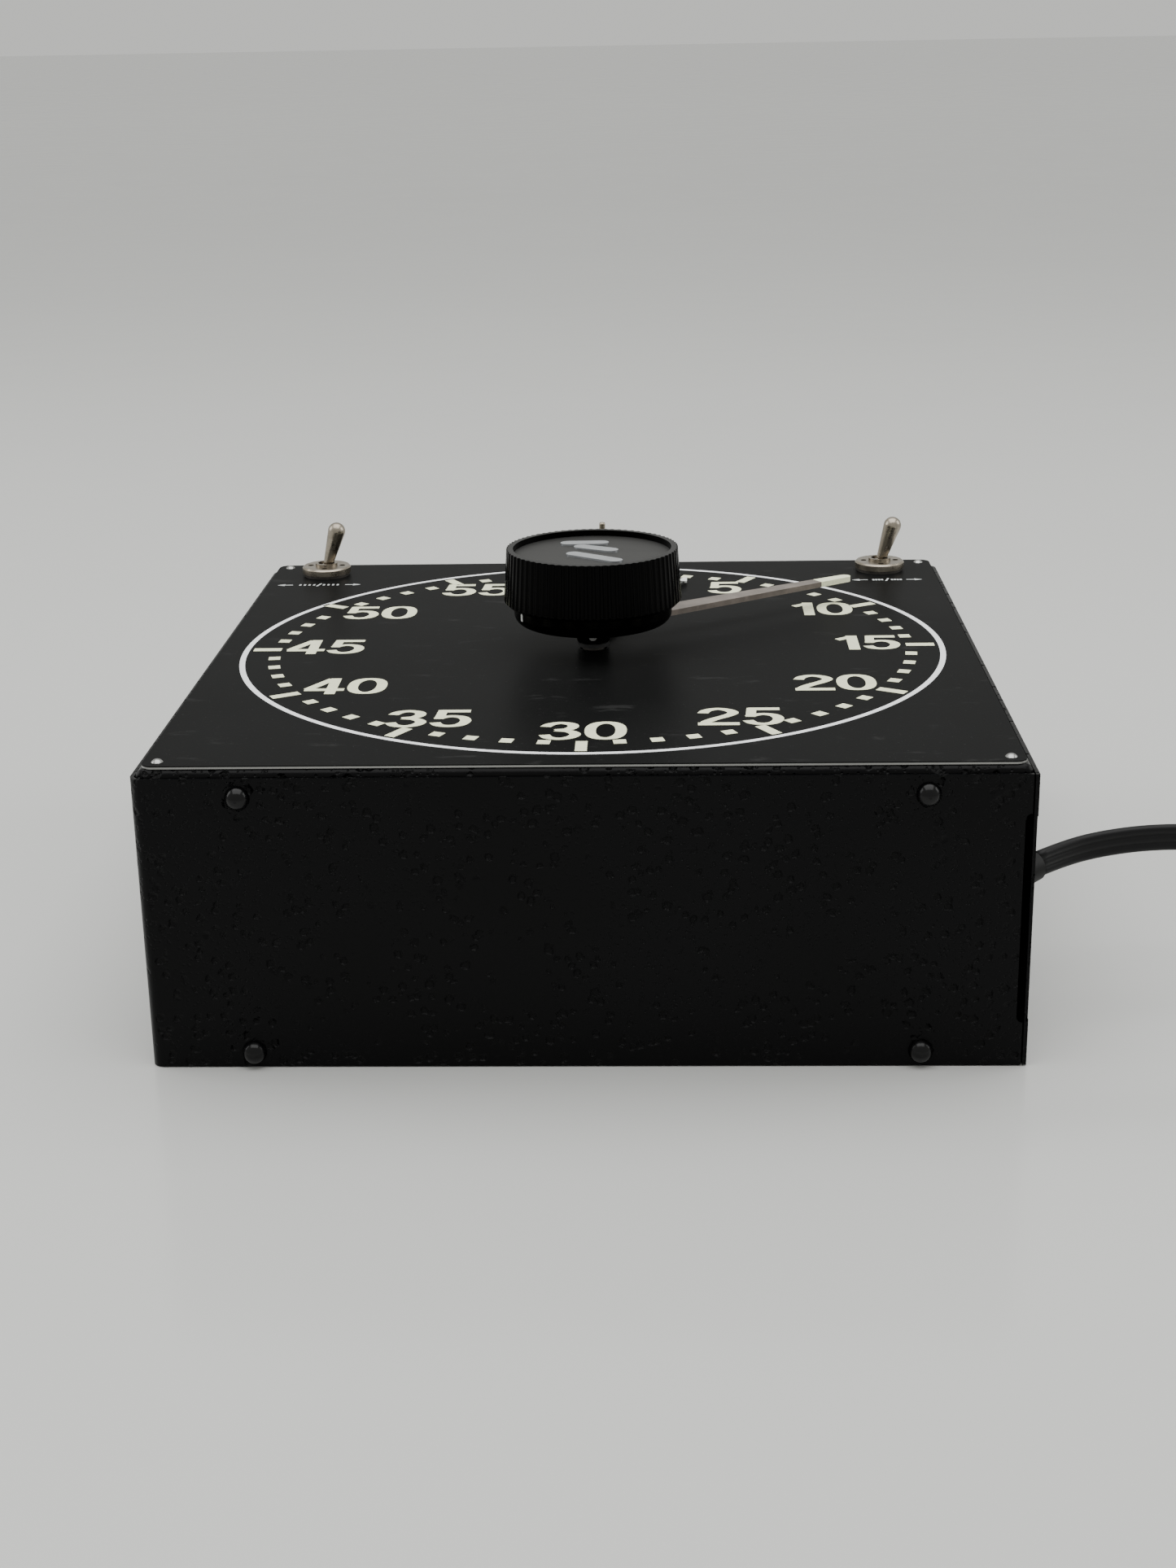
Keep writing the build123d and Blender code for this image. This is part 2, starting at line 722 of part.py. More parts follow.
sweep_plane = Plane.XY.offset(sweep_z).rotated((0, 0, -sweep_hand_angle))
blade_root = sweep_hub - 1
with BuildPart() as sweep_hand:
    with BuildSketch(sweep_plane):
        hand_blade(sweep_root_width, sweep_tip_width, blade_root, sweep_hand_length)
        Circle(sweep_hub)
        Circle(knob_hub, mode=Mode.SUBTRACT)
    extrude(amount=sweep_hand_thickness)
    with BuildSketch(sweep_plane):
        hand_blade(
            sweep_root_width - 2 * sweep_hand_skin,
            sweep_tip_width - 2 * sweep_hand_skin,
            sweep_hub + 1,
            sweep_hand_length - sweep_hand_skin,
        )
    extrude(amount=sweep_hand_thickness - sweep_hand_skin, mode=Mode.SUBTRACT)
save(sweep_hand, "sweep_hand")

# ------------------------------------------------------------------------------ knob
grip_slope = (grip_foot_radius - grip_top_radius) / grip_height
rim_z = knob_top - rim_height
step_round = 1.2
screw_height = (hub_foot_z + sweep_z) / 2
with BuildPart() as setting_knob:
    with BuildSketch(Plane.XZ):
        with BuildLine():
            Polyline(
                (drum_radius, grip_z - step_round),
                (grip_foot_radius - step_round, grip_z - step_round),
                (grip_foot_radius, grip_z),
                (grip_top_radius, knob_top),
                (grip_top_radius - rim_width, knob_top),
                (grip_top_radius - rim_width, recess_floor),
                (0, recess_floor),
                (0, arbor_top),
                (arbor_radius, arbor_top),
                (arbor_radius, hub_foot_z),
                (knob_hub_foot, hub_foot_z),
                (knob_hub, sweep_z),
                (knob_hub, drum_z),
                (drum_radius - drum_round, drum_z),
            )
            RadiusArc(
                (drum_radius - drum_round, drum_z), (drum_radius, drum_z + drum_round), -drum_round
            )
            Line((drum_radius, drum_z + drum_round), (drum_radius, grip_z - step_round))
        make_face()
    revolve(axis=Axis.Z)
    flute_middle = (grip_z + rim_z) / 2
    flute_axis = grip_foot_radius - grip_slope * (flute_middle - grip_z) + flute_radius - flute_depth
    with Locations((0, 0, flute_middle)):
        with PolarLocations(flute_axis, flute_count):
            Cylinder(
                flute_radius,
                rim_z - grip_z + 2 * step_round,
                rotation=(0, -degrees(atan(grip_slope)), 0),
                mode=Mode.SUBTRACT,
            )
    with BuildSketch(Plane(origin=(0, 0, screw_height), x_dir=(1, 0, 0), z_dir=(0, -1, 0))):
        Circle(knob_screw + thread_gap)
    extrude(amount=knob_hub + 1, mode=Mode.SUBTRACT)
save(setting_knob, "setting_knob")

with BuildPart() as knob_set_screw:
    with BuildSketch(Plane(origin=(0, -arbor_radius, screw_height), x_dir=(1, 0, 0), z_dir=(0, -1, 0))):
        Circle(knob_screw)
    extrude(amount=knob_hub - arbor_radius - 0.8)
    with BuildSketch(Plane(origin=(0, 0.8 - knob_hub, screw_height), x_dir=(1, 0, 0), z_dir=(0, -1, 0))):
        Rectangle(2 * knob_screw, 0.5)
    extrude(amount=-0.6, mode=Mode.SUBTRACT)
save(knob_set_screw, "knob_set_screw")

with BuildPart() as knob_disc:
    with BuildSketch(Plane.XY.offset(recess_floor)):
        Circle(grip_top_radius - rim_width - 0.1)
    extrude(amount=knob_disc_thickness)
save(knob_disc, "knob_disc")

badge_width = 4.4
badge_bars = [(-2.5, 11.5, 14.0, 2), (1.0, 4.2, 14.0, -28), (0.8, -7.0, 19.0, -36)]
with BuildPart() as knob_badge:
    with BuildSketch(Plane.XY.offset(recess_floor + knob_disc_thickness)):
        for x, y, length, slant in badge_bars:
            with Locations((x, y)):
                SlotOverall(length, badge_width, rotation=slant)
    extrude(amount=badge_height)
save(knob_badge, "knob_badge")


# ------------------------------------------------------------------------------ toggle switches
toggle_spots = [(-toggle_x, toggle_y), (toggle_x, toggle_y)]
nut_foot = dial_top + toggle_washer
nut_face = nut_foot + toggle_nut_height
slot_low = pivot_z - lever_stub - 2.0
bore_low = pivot_z - lever_stub / 2

with BuildPart() as toggle_bodies:
    with BuildSketch(Plane.XY.offset(frame_under - toggle_body_z)):
        with Locations(*toggle_spots):
            RectangleRounded(toggle_body_x, toggle_body_y, 2)
    extrude(amount=toggle_body_z)
    with BuildSketch(Plane.XY.offset(frame_under)):
        with Locations(*toggle_spots):
            Circle(toggle_bushing)
    extrude(amount=nut_face - toggle_nut_skin - frame_under)
    with BuildSketch(Plane.XY.offset(slot_low)):
        with Locations(*toggle_spots):
            SlotOverall(2 * lever_stub * sin(radians(toggle_tilt)) + 2 * toggle_bore, 2 * toggle_bore)
    extrude(amount=bore_low - slot_low, mode=Mode.SUBTRACT)
    with BuildSketch(Plane.XY.offset(bore_low)):
        with Locations(*toggle_spots):
            Circle(toggle_bore)
    extrude(amount=nut_face - bore_low, mode=Mode.SUBTRACT)
save(toggle_bodies, "toggle_bodies")

with BuildPart() as toggle_washers:
    with BuildSketch(Plane.XY.offset(dial_top)):
        with Locations(*toggle_spots):
            Circle(toggle_nut - 0.6)
            Circle(toggle_bushing + thread_gap, mode=Mode.SUBTRACT)
    extrude(amount=toggle_washer)
save(toggle_washers, "toggle_washers")

with BuildPart() as toggle_nuts:
    with BuildSketch(Plane.XY.offset(nut_foot)):
        with Locations(*toggle_spots):
            Circle(toggle_nut)
    extrude(amount=toggle_nut_height)
    chamfer(edges().filter_by(GeomType.CIRCLE).group_by(Axis.Z)[-1], length=0.5)
    with BuildSketch(Plane.XY.offset(nut_face)):
        with Locations(*toggle_spots):
            Circle(toggle_boss)
    extrude(amount=toggle_boss_height)
    with BuildSketch(Plane.XY.offset(nut_foot)):
        with Locations(*toggle_spots):
            Circle(toggle_bushing + thread_gap)
    extrude(amount=toggle_nut_height - toggle_nut_skin, mode=Mode.SUBTRACT)
    with BuildSketch(Plane.XY.offset(nut_face - toggle_nut_skin)):
        with Locations(*toggle_spots):
            Circle(toggle_bore)
            with PolarLocations((toggle_boss + toggle_nut) / 2 - 0.6, 4):
                Circle(0.95)
    extrude(amount=toggle_nut_skin + toggle_boss_height, mode=Mode.SUBTRACT)
save(toggle_nuts, "toggle_nuts")

for side, x in (("left", -toggle_x), ("right", toggle_x)):
    upright = Plane(origin=(x, toggle_y, pivot_z), x_dir=(1, 0, 0), z_dir=(0, -1, 0))
    lean = upright.rotated((0, toggle_tilt, 0))
    with BuildPart() as toggle_lever:
        with BuildSketch(lean):
            with BuildLine():
                Polyline(
                    (0, lever_length + lever_tip),
                    (0, -lever_stub),
                    (lever_neck - 0.3, -lever_stub),
                    (lever_neck - 0.3, 0),
                    (lever_neck, 0),
                    (lever_tip, lever_length),
                )
                RadiusArc((lever_tip, lever_length), (0, lever_length + lever_tip), -lever_tip)
            make_face()
        revolve(axis=Axis((x, toggle_y, pivot_z), lean.y_dir))
        with Locations((x, toggle_y, pivot_z)):
            Sphere(lever_ball)
            Cylinder(lever_pin, 2 * toggle_bore - 0.2, rotation=(90, 0, 0))
    save(toggle_lever, f"{side}_lever")

# ------------------------------------------------------------------------------ push switch
push_place = Plane(origin=(0, push_y, 0))
push_body_height = 18.0
push_nut_height = 1.8
push_low = frame_under - push_body_height
push_stop = push_low + 3
with BuildPart() as push_switch_body:
    with BuildSketch(push_place.offset(push_low)):
        Circle(push_body - 1.4)
    extrude(amount=push_body_height)
    with BuildSketch(push_place.offset(frame_under)):
        Circle(push_bushing)
    extrude(amount=dial_top + push_nut_height + 0.6 - frame_under)
    with BuildSketch(push_place.offset(push_stop)):
        Circle(push_rod + running)
    extrude(amount=dial_top + push_nut_height + 1 - push_stop, mode=Mode.SUBTRACT)
save(push_switch_body, "push_switch_body")

with BuildPart() as push_switch_nut:
    with BuildSketch(push_place.offset(dial_top)):
        RegularPolygon(push_nut, 6)
        Circle(push_bushing + thread_gap, mode=Mode.SUBTRACT)
    extrude(amount=push_nut_height)
save(push_switch_nut, "push_switch_nut")

rod_foot = push_stop + push_travel + clear
with BuildPart() as push_plunger:
    with BuildSketch(push_place.offset(rod_foot)):
        Circle(push_rod)
    extrude(amount=dial_top + push_rise - rod_foot)
    crown = edges().filter_by(GeomType.CIRCLE).group_by(Axis.Z)[-1]
    fillet(crown, radius=0.6)
save(push_plunger, "push_plunger")

# ------------------------------------------------------------------------------ electrical pieces
switch_x = minute_module * minute_wheel_teeth / 2 + 1.4
with BuildPart() as zero_switch:
    with BuildSketch(Plane.XY.offset(plate_under - 10)):
        with Locations((switch_x + 3.2, 0)):
            Rectangle(6.4, 20)
    extrude(amount=10)
save(zero_switch, "zero_switch")

blade_height = 0.8
with BuildPart() as zero_switch_blade:
    with BuildSketch(Plane.XY.offset(cam_top - 1)):
        with BuildLine():
            Polyline(
                (switch_x, -8.0),
                (switch_x - 1.2, -8.0),
                (cam_radius + 0.5, -0.6),
                (cam_radius + 0.5, 0.6),
                (switch_x, -7.0),
                close=True,
            )
        make_face()
    extrude(amount=blade_height)
save(zero_switch_blade, "zero_switch_blade")

buzzer_x = 40.0 - half_x
buzzer_y = 52.0 - half_y
buzzer_place = Plane(origin=(buzzer_x, buzzer_y, 0))
bracket = 1.5
coil_length = 22.0
with BuildPart() as buzzer_frame:
    with BuildSketch(buzzer_place.offset(frame_under - bracket)):
        Rectangle(44, 22)
    extrude(amount=bracket)
    with BuildSketch(buzzer_place.offset(frame_under - bracket - coil_length - 4)):
        with Locations((-21, 0)):
            Rectangle(2, 22)
    extrude(amount=coil_length + 4)
save(buzzer_frame, "buzzer_frame")

with BuildPart() as buzzer_coil:
    with BuildSketch(buzzer_place.offset(frame_under - bracket - coil_length)):
        Circle(9)
    extrude(amount=coil_length)
save(buzzer_coil, "buzzer_coil")

with BuildPart() as buzzer_reed:
    with BuildSketch(buzzer_place.offset(frame_under - bracket - coil_length - 4.6)):
        with Locations((-4, 0)):
            Rectangle(36, 9)
    extrude(amount=0.6)
save(buzzer_reed, "buzzer_reed")

terminal_place = Plane(origin=(half_x - 56, 34 - half_y, 0))
terminal_height = 12.0
terminal_spots = [(11.0 * step, 0) for step in range(-2, 3)]
with BuildPart() as terminal_block:
    with BuildSketch(terminal_place.offset(frame_under - terminal_height)):
        Rectangle(60, 16)
    extrude(amount=terminal_height)
    with BuildSketch(terminal_place.offset(frame_under - terminal_height)):
        with Locations(*terminal_spots):
            Circle(1.5 + thread_gap)
    extrude(amount=6, mode=Mode.SUBTRACT)
save(terminal_block, "terminal_block")

with BuildPart() as terminal_screws:
    with BuildSketch(terminal_place.offset(frame_under - terminal_height)):
        with Locations(*terminal_spots):
            Circle(1.5)
    extrude(amount=5)
    with BuildSketch(terminal_place.offset(frame_under - terminal_height)):
        with Locations(*terminal_spots):
            Circle(2.6)
    extrude(amount=-2)
save(terminal_screws, "terminal_screws")

with BuildPart() as outlet_sockets:
    with BuildSketch(right_wall.offset(outlet_lip)):
        with Locations(*outlet_spots):
            RectangleRounded(outlet_width, outlet_height, 4)
    extrude(amount=-outlet_lip - sheet - outlet_depth)
    with BuildSketch(right_wall.offset(-sheet)):
        with Locations(*outlet_spots):
            Rectangle(outlet_width + 6, outlet_height - 6)
    extrude(amount=-3)
    with BuildSketch(right_wall.offset(outlet_lip)):
        for y, z in outlet_spots:
            with Locations((y - 6.35, z + 2), (y + 6.35, z + 2)):
                Rectangle(1.9, 7.5)
            with Locations((y, z - 7)):
                Circle(2.5)
    extrude(amount=-16, mode=Mode.SUBTRACT)
save(outlet_sockets, "outlet_sockets")

# ------------------------------------------------------------------------------ lead
with BuildPart() as cord_guard:
    with BuildSketch(Plane(origin=guard_root, x_dir=(0, 0, 1), z_dir=guard_way)):
        Circle(guard_bore)
    extrude(amount=(guard_mouth - guard_root).length, taper=4)
    split(bisect_by=right_wall, keep=Keep.TOP)
    with BuildSketch(right_wall):
        with Locations((guard_root.Y, guard_root.Z)):
            Circle(guard_bore + 3)
    extrude(amount=guard_flange)
    with BuildSketch(right_wall):
        with Locations((guard_root.Y, guard_root.Z)):
            Circle(guard_bore)
    extrude(amount=-sheet - guard_inside)
save(cord_guard, "cord_guard")

ring_foot = tie_thickness + 0.05
ring_half = coil_columns * lead_radius
outer_turn = coil_radius + ring_half - lead_radius
low_turn = ring_foot + lead_radius
high_turn = ring_foot + (2 * coil_layers - 1) * lead_radius
ring_y = -62.5
coil_x = half_x + coil_out
coil_y = ring_y + outer_turn
lead_points = [
    (half_x + lead_mouth[0], lead_mouth[1], lead_mouth[2]),
    (half_x + lead_first[0], lead_first[1], lead_first[2]),
    (half_x + 28.5, -57.2, 40.3),
    (half_x + 42.5, -55.0, 41.0),
    (half_x + 59.0, -53.8, 40.2),
    (half_x + 79.0, -54.5, 35.0),
    (half_x + 98.0, -57.0, 24.5),
    (half_x + 116.0, -60.2, 13.0),
    (half_x + 133.0, -62.4, 6.4),
    (coil_x, ring_y, low_turn),
]


def corner_radii(points):
    """Gives each corner of a route the largest arc that its two runs have room for."""
    spots = [Vector(*point) for point in points]
    radii = []
    for before, here, after in zip(spots, spots[1:], spots[2:]):
        turn = radians((here - before).get_angle(after - here))
        shorter = min((here - before).length, (after - here).length)
        radii.append(0.45 * shorter / tan(turn / 2))
    return radii


def report_tube(name, pieces, tube, radii):
    """Prints a tube's length, the length that its volume gives, and its bends."""
    length = sum(piece.length for piece in pieces)
    by_volume = tube.volume / (pi * lead_radius**2)
    print(name, "length", round(length, 2), "by volume", round(by_volume, 2))
    print(name, "radii", [round(radius, 1) for radius in radii])


with BuildPart() as lead_run:
    with BuildLine() as run_line:
        FilletPolyline(*lead_points, radius=corner_radii(lead_points))
    with BuildSketch(Plane(origin=run_line.line @ 0, z_dir=run_line.line % 0)):
        Circle(lead_radius)
    sweep()
save(lead_run, "lead_run")
report_tube("lead_run", run_line.edges(), lead_run.part, corner_radii(lead_points))

tail_points = [
    (coil_x + outer_turn, coil_y, high_turn),
    (coil_x + outer_turn + 0.5, coil_y + 18.0, high_turn - 0.4),
    (coil_x + 38.0, coil_y + 36.0, high_turn - 0.6),
    (coil_x + 26.0, coil_y + 52.0, plug_radius + 0.1),
    (coil_x + 10.0, coil_y + 64.0, plug_radius + 0.1),
]

with BuildPart() as lead_tail:
    with BuildLine() as tail_line:
        FilletPolyline(*tail_points, radius=corner_radii(tail_points))
    with BuildSketch(Plane(origin=tail_line.line @ 0, z_dir=tail_line.line % 0)):
        Circle(lead_radius)
    sweep()
save(lead_tail, "lead_tail")
report_tube("lead_tail", tail_line.edges(), lead_tail.part, corner_radii(tail_points))

with BuildPart() as lead_coil:
    with BuildSketch(Plane.XY.offset(ring_foot)):
        with Locations((coil_x, coil_y)):
            Circle(coil_radius + ring_half)
            Circle(coil_radius - ring_half, mode=Mode.SUBTRACT)
    extrude(amount=2 * coil_layers * lead_radius)
save(lead_coil, "lead_coil")

coil_axis = Axis((coil_x, coil_y, 0), (0, 0, 1))
tie_way = (cos(radians(tie_angle)), sin(radians(tie_angle)), 0)
tie_across = (-tie_way[1], tie_way[0], 0)
tie_middle = ring_foot + coil_layers * lead_radius
with BuildPart() as coil_tie:
    with BuildSketch(Plane(origin=(coil_x, coil_y, tie_middle), x_dir=tie_way, z_dir=tie_across)):
        with Locations((coil_radius, 0)):
            Rectangle(2 * ring_half + 2 * tie_thickness, 2 * coil_layers * lead_radius + 2 * tie_thickness)
            Rectangle(2 * ring_half, 2 * coil_layers * lead_radius, mode=Mode.SUBTRACT)
    revolve(axis=coil_axis, revolution_arc=tie_arc)
save(coil_tie, "coil_tie")

plug_back = Vector(*tail_points[-1])
plug_way = Vector(*tail_points[-1]) - Vector(*tail_points[-2])
plug_turn = Vector(plug_way.X, plug_way.Y, 0).normalized()
plug_side = Vector(0, 0, 1).cross(plug_turn)
plug_face = plug_back + plug_turn * (plug_neck + plug_body)
with BuildPart() as plug:
    with BuildSketch(Plane(origin=plug_back, x_dir=plug_turn, z_dir=Vector(0, 0, 1))):
        with BuildLine():
            Polyline(
                (0, 0),
                (0, plug_collar),
                (plug_neck / 2, plug_collar),
                (plug_neck, plug_radius),
                (plug_neck + plug_body, plug_radius),
                (plug_neck + plug_body, 0),
                close=True,
            )
        make_face()
    revolve(axis=Axis(plug_back, plug_turn))
    fillet(edges().filter_by(GeomType.CIRCLE).sort_by(Axis(plug_back, plug_turn))[-1], radius=1.5)
save(plug, "plug")

blade_spacing = 12.7
blade_width = 6.35
blade_thickness = 1.5
blade_length = 17.0
pin_radius = 2.4
pin_drop = 6.0
with BuildPart() as plug_pins:
    with BuildSketch(Plane(origin=plug_face, x_dir=plug_side, z_dir=plug_turn)):
        with Locations((-blade_spacing / 2, 2), (blade_spacing / 2, 2)):
            Rectangle(blade_thickness, blade_width)
        with Locations((0, -pin_drop)):
            Circle(pin_radius)
    extrude(amount=blade_length)
save(plug_pins, "plug_pins")
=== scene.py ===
"""Looks of a mains interval timer lying on its back: enamelled case, luminous dial, hands, knob,
toggle switches and flat lead, on a pale studio floor."""

from math import cos, pi, radians, sin

import bmesh
import bpy
import numpy as np
from bpy.props import FloatProperty, FloatVectorProperty, PointerProperty
from mathutils import Matrix, Vector


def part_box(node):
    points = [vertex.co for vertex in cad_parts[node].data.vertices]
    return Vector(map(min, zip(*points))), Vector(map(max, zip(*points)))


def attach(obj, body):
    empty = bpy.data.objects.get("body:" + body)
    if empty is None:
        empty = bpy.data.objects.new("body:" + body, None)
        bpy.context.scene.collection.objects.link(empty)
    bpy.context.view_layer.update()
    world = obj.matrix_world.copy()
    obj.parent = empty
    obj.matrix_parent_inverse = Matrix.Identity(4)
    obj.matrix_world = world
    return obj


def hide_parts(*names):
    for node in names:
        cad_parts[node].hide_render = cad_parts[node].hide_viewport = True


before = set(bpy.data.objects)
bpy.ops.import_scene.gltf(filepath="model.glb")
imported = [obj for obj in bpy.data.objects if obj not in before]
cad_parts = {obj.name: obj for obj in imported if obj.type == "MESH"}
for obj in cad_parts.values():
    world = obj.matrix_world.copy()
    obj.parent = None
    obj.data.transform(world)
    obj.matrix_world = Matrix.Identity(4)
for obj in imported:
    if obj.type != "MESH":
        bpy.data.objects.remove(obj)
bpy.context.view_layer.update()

bl_info = {
    "name": "Interval timer",
    "version": (1, 0, 0),
    "blender": (4, 5, 0),
    "location": "View3D > Sidebar > Timer",
    "description": "Dresses the packed interval timer: dial, hands, knob, switches, case and lead",
    "category": "Object",
}

MM = 0.001
BARE_EDGE = 0.3 * MM  # the dial sheet's cut edge is bare from this far below its face
INK_ROOT = 0.02 * MM  # print starts this far inside the dial sheet
STROKE_STEP = 0.002 * MM  # each stroke of a figure stands this much higher than the one before


# ------------------------------------------------------------------------------ shader maths
class Value:
    """A shader socket that can be added, multiplied and compared like a number."""

    def __init__(self, graph, socket):
        self.graph = graph
        self.socket = socket

    def _math(self, operation, *values):
        node = self.graph.node("ShaderNodeMath", {"operation": operation}, dict(enumerate(values)))
        return Value(self.graph, node.outputs[0])

    def __add__(self, other):
        return self._math("ADD", self, other)

    def __radd__(self, other):
        return self._math("ADD", other, self)

    def __sub__(self, other):
        return self._math("SUBTRACT", self, other)

    def __rsub__(self, other):
        return self._math("SUBTRACT", other, self)

    def __mul__(self, other):
        return self._math("MULTIPLY", self, other)

    def __rmul__(self, other):
        return self._math("MULTIPLY", other, self)

    def __pow__(self, other):
        return self._math("POWER", self, other)

    def __gt__(self, other):
        return self._math("GREATER_THAN", self, other)

    def __lt__(self, other):
        return self._math("LESS_THAN", self, other)

    def ramp(self, low, high, out_low=0.0, out_high=1.0):
        """Smooth step: out_low below low, out_high above high."""
        node = self.graph.node(
            "ShaderNodeMapRange",
            {"interpolation_type": "SMOOTHSTEP"},
            {"Value": self, "From Min": low, "From Max": high, "To Min": out_low, "To Max": out_high},
        )
        return Value(self.graph, node.outputs[0])


class Graph:
    """One material's node tree, with its Principled shader and object coordinates."""

    def __init__(self, name):
        self.material = bpy.data.materials.new(name)
        self.material.use_nodes = True
        self.tree = self.material.node_tree
        self.shader = self.tree.nodes["Principled BSDF"]
        self.place = self.node("ShaderNodeTexCoord", {}, {}).outputs["Object"]

    def node(self, kind, settings, inputs):
        """Adds a node, sets its properties, and sets or links its inputs."""
        made = self.tree.nodes.new(kind)
        for key, value in settings.items():
            setattr(made, key, value)
        for key, value in inputs.items():
            self.feed(made.inputs[key], value)
        return made

    def feed(self, socket, value):
        if isinstance(value, Value):
            self.tree.links.new(value.socket, socket)
        elif isinstance(value, bpy.types.NodeSocket):
            self.tree.links.new(value, socket)
        else:
            socket.default_value = value

    def axes(self):
        parts = self.node("ShaderNodeSeparateXYZ", {}, {"Vector": self.place})
        return [Value(self, parts.outputs[k]) for k in range(3)]

    def stretched(self, x, y, z):
        """Object coordinates multiplied by one factor for each axis."""
        made = self.node(
            "ShaderNodeVectorMath", {"operation": "MULTIPLY"}, {0: self.place, 1: (x, y, z)}
        )
        return made.outputs[0]

    def noise(self, scale, detail, roughness=0.55, place=None):
        made = self.node(
            "ShaderNodeTexNoise",
            {},
            {"Vector": place or self.place, "Scale": scale, "Detail": detail, "Roughness": roughness},
        )
        return Value(self, made.outputs["Fac"])

    def cells(self, scale):
        """Distance to the nearest of scattered points, in cell widths."""
        made = self.node("ShaderNodeTexVoronoi", {}, {"Vector": self.place, "Scale": scale})
        return Value(self, made.outputs["Distance"])

    def mix(self, factor, low, high):
        """A colour between low and high."""
        made = self.node("ShaderNodeMix", {"data_type": "RGBA"}, {"Factor": factor})
        sockets = [s for s in made.inputs if s.type == "RGBA"]
        self.feed(sockets[0], low)
        self.feed(sockets[1], high)
        return [s for s in made.outputs if s.type == "RGBA"][0]

    def bump(self, height, distance, strength):
        made = self.node(
            "ShaderNodeBump", {}, {"Height": height, "Distance": distance, "Strength": strength}
        )
        self.set(Normal=made.outputs[0])

    def set(self, **inputs):
        for key, value in inputs.items():
            self.feed(self.shader.inputs[key.replace("_", " ")], value)


def tone(colour, factor):
    """The same colour made lighter or darker."""
    return (*[min(1.0, c * factor) for c in colour[:3]], 1.0)


# ------------------------------------------------------------------------------ materials
def hammered_enamel(name, colour):
    """Thick black enamel with a fine orange peel and scattered, ragged pits, the pits painted darker as
    painted shade.
    """
    g = Graph(name)
    patches = g.noise(13, 2)
    ragged = g.noise(430, 3)
    craters = (g.cells(300) + (ragged - 0.5) * 0.7).ramp(0.14, 0.40)
    small = (g.cells(760) + (ragged - 0.5) * 0.6).ramp(0.10, 0.34)
    chosen = g.noise(60, 3).ramp(0.43, 0.50)
    peel = g.noise(800, 2)
    pits = 1.0 - (1.0 - craters) * chosen
    fine_pits = 1.0 - (1.0 - small) * patches.ramp(0.42, 0.58)
    # The pits are painted darker in the base colour, as painted shade in their hollows; the large patches are
    # a random tone of the enamel.
    g.set(
        Base_Color=g.mix(pits * patches.ramp(0.3, 0.7), tone(colour, 0.6), tone(colour, 1.3)),
        Roughness=0.26 + (1.0 - pits) * 0.12 + peel * 0.1,
        Specular_IOR_Level=0.11,
    )
    g.bump(pits + fine_pits * 0.3 + peel * 0.06, 0.0009, 0.9)
    return g.material


def dial_enamel(name, colour, edge_colour, dial_top):
    """Satin charcoal sheet with faint scuffs and fingermarks, and its cut edge left bare."""
    g = Graph(name)
    bare = g.axes()[2] < (dial_top - BARE_EDGE)
    clouds = g.noise(11, 4)
    scuffs = g.noise(60, 5, 0.7, g.stretched(1.0, 3.2, 1.0)).ramp(0.60, 0.70)
    dust = g.noise(1900, 1).ramp(0.74, 0.80)
    grain = g.noise(2600, 2)
    coat = g.mix(clouds.ramp(0.35, 0.65), tone(colour, 0.86), tone(colour, 1.16))
    marked = g.mix(scuffs * 0.04 + dust * 0.12, coat, (0.34, 0.34, 0.34, 1.0))
    g.set(
        Base_Color=g.mix(bare, marked, (*edge_colour, 1.0)),
        Metallic=bare * 0.9,
        Roughness=0.34 + clouds * 0.12 + scuffs * 0.03 - bare * 0.06,
        Specular_IOR_Level=0.016,
    )
    g.bump(grain + scuffs * 0.15, 0.00003, 0.5)
    return g.material


def plated(name, colour, wear, rough):
    """Plated or bare metal with tarnish clouds, spots and fine turning marks."""
    g = Graph(name)
    clouds = g.noise(260, 4)
    spots = g.noise(900, 2).ramp(0.60, 0.72)
    lines = g.noise(420, 2, 0.6, g.stretched(1.0, 1.0, 9.0))
    tarnish = clouds.ramp(0.42, 0.66) * wear + spots * wear * 0.5
    g.set(
        Base_Color=g.mix(tarnish, (*colour, 1.0), tone(colour, 0.42)),
        Metallic=1.0,
        Roughness=rough + tarnish * 0.24 + lines * 0.06,
    )
    g.bump(lines + clouds * 0.5, 0.00004, 0.35)
    return g.material


def moulded(name, colour, rough, shine, lines=0.0):
    """Moulded plastic or rubber with a faint skin and dust; lines is the depth of turned bands."""
    g = Graph(name)
    clouds = g.noise(70, 4)
    grain = g.noise(2400, 2)
    dust = g.noise(1500, 1).ramp(0.72, 0.80)
    rings = g.noise(500, 1, 0.5, g.stretched(0.15, 0.15, 8.0))
    g.set(
        Base_Color=g.mix(dust * 0.12 + clouds.ramp(0.5, 0.8) * 0.10, (*colour, 1.0), tone(colour, 2.6)),
        Roughness=rough + clouds * 0.12 + dust * 0.1,
        Specular_IOR_Level=shine,
    )
    g.bump(grain * 0.6 + rings * lines, 0.00004, 0.5)
    return g.material


def printed(name, colour, mottle):
    """Screen-printed ink, slightly thin and uneven, with a fine grain."""
    g = Graph(name)
    thin = g.noise(340, 4)
    specks = g.noise(1700, 2).ramp(0.66, 0.74)
    g.set(
        Base_Color=g.mix(thin.ramp(0.4, 0.75) * mottle + specks * mottle, (*colour, 1.0), tone(colour, 0.74)),
        Roughness=0.5 + thin * 0.2,
    )
    g.bump(thin, 0.00004, 0.5)
    return g.material


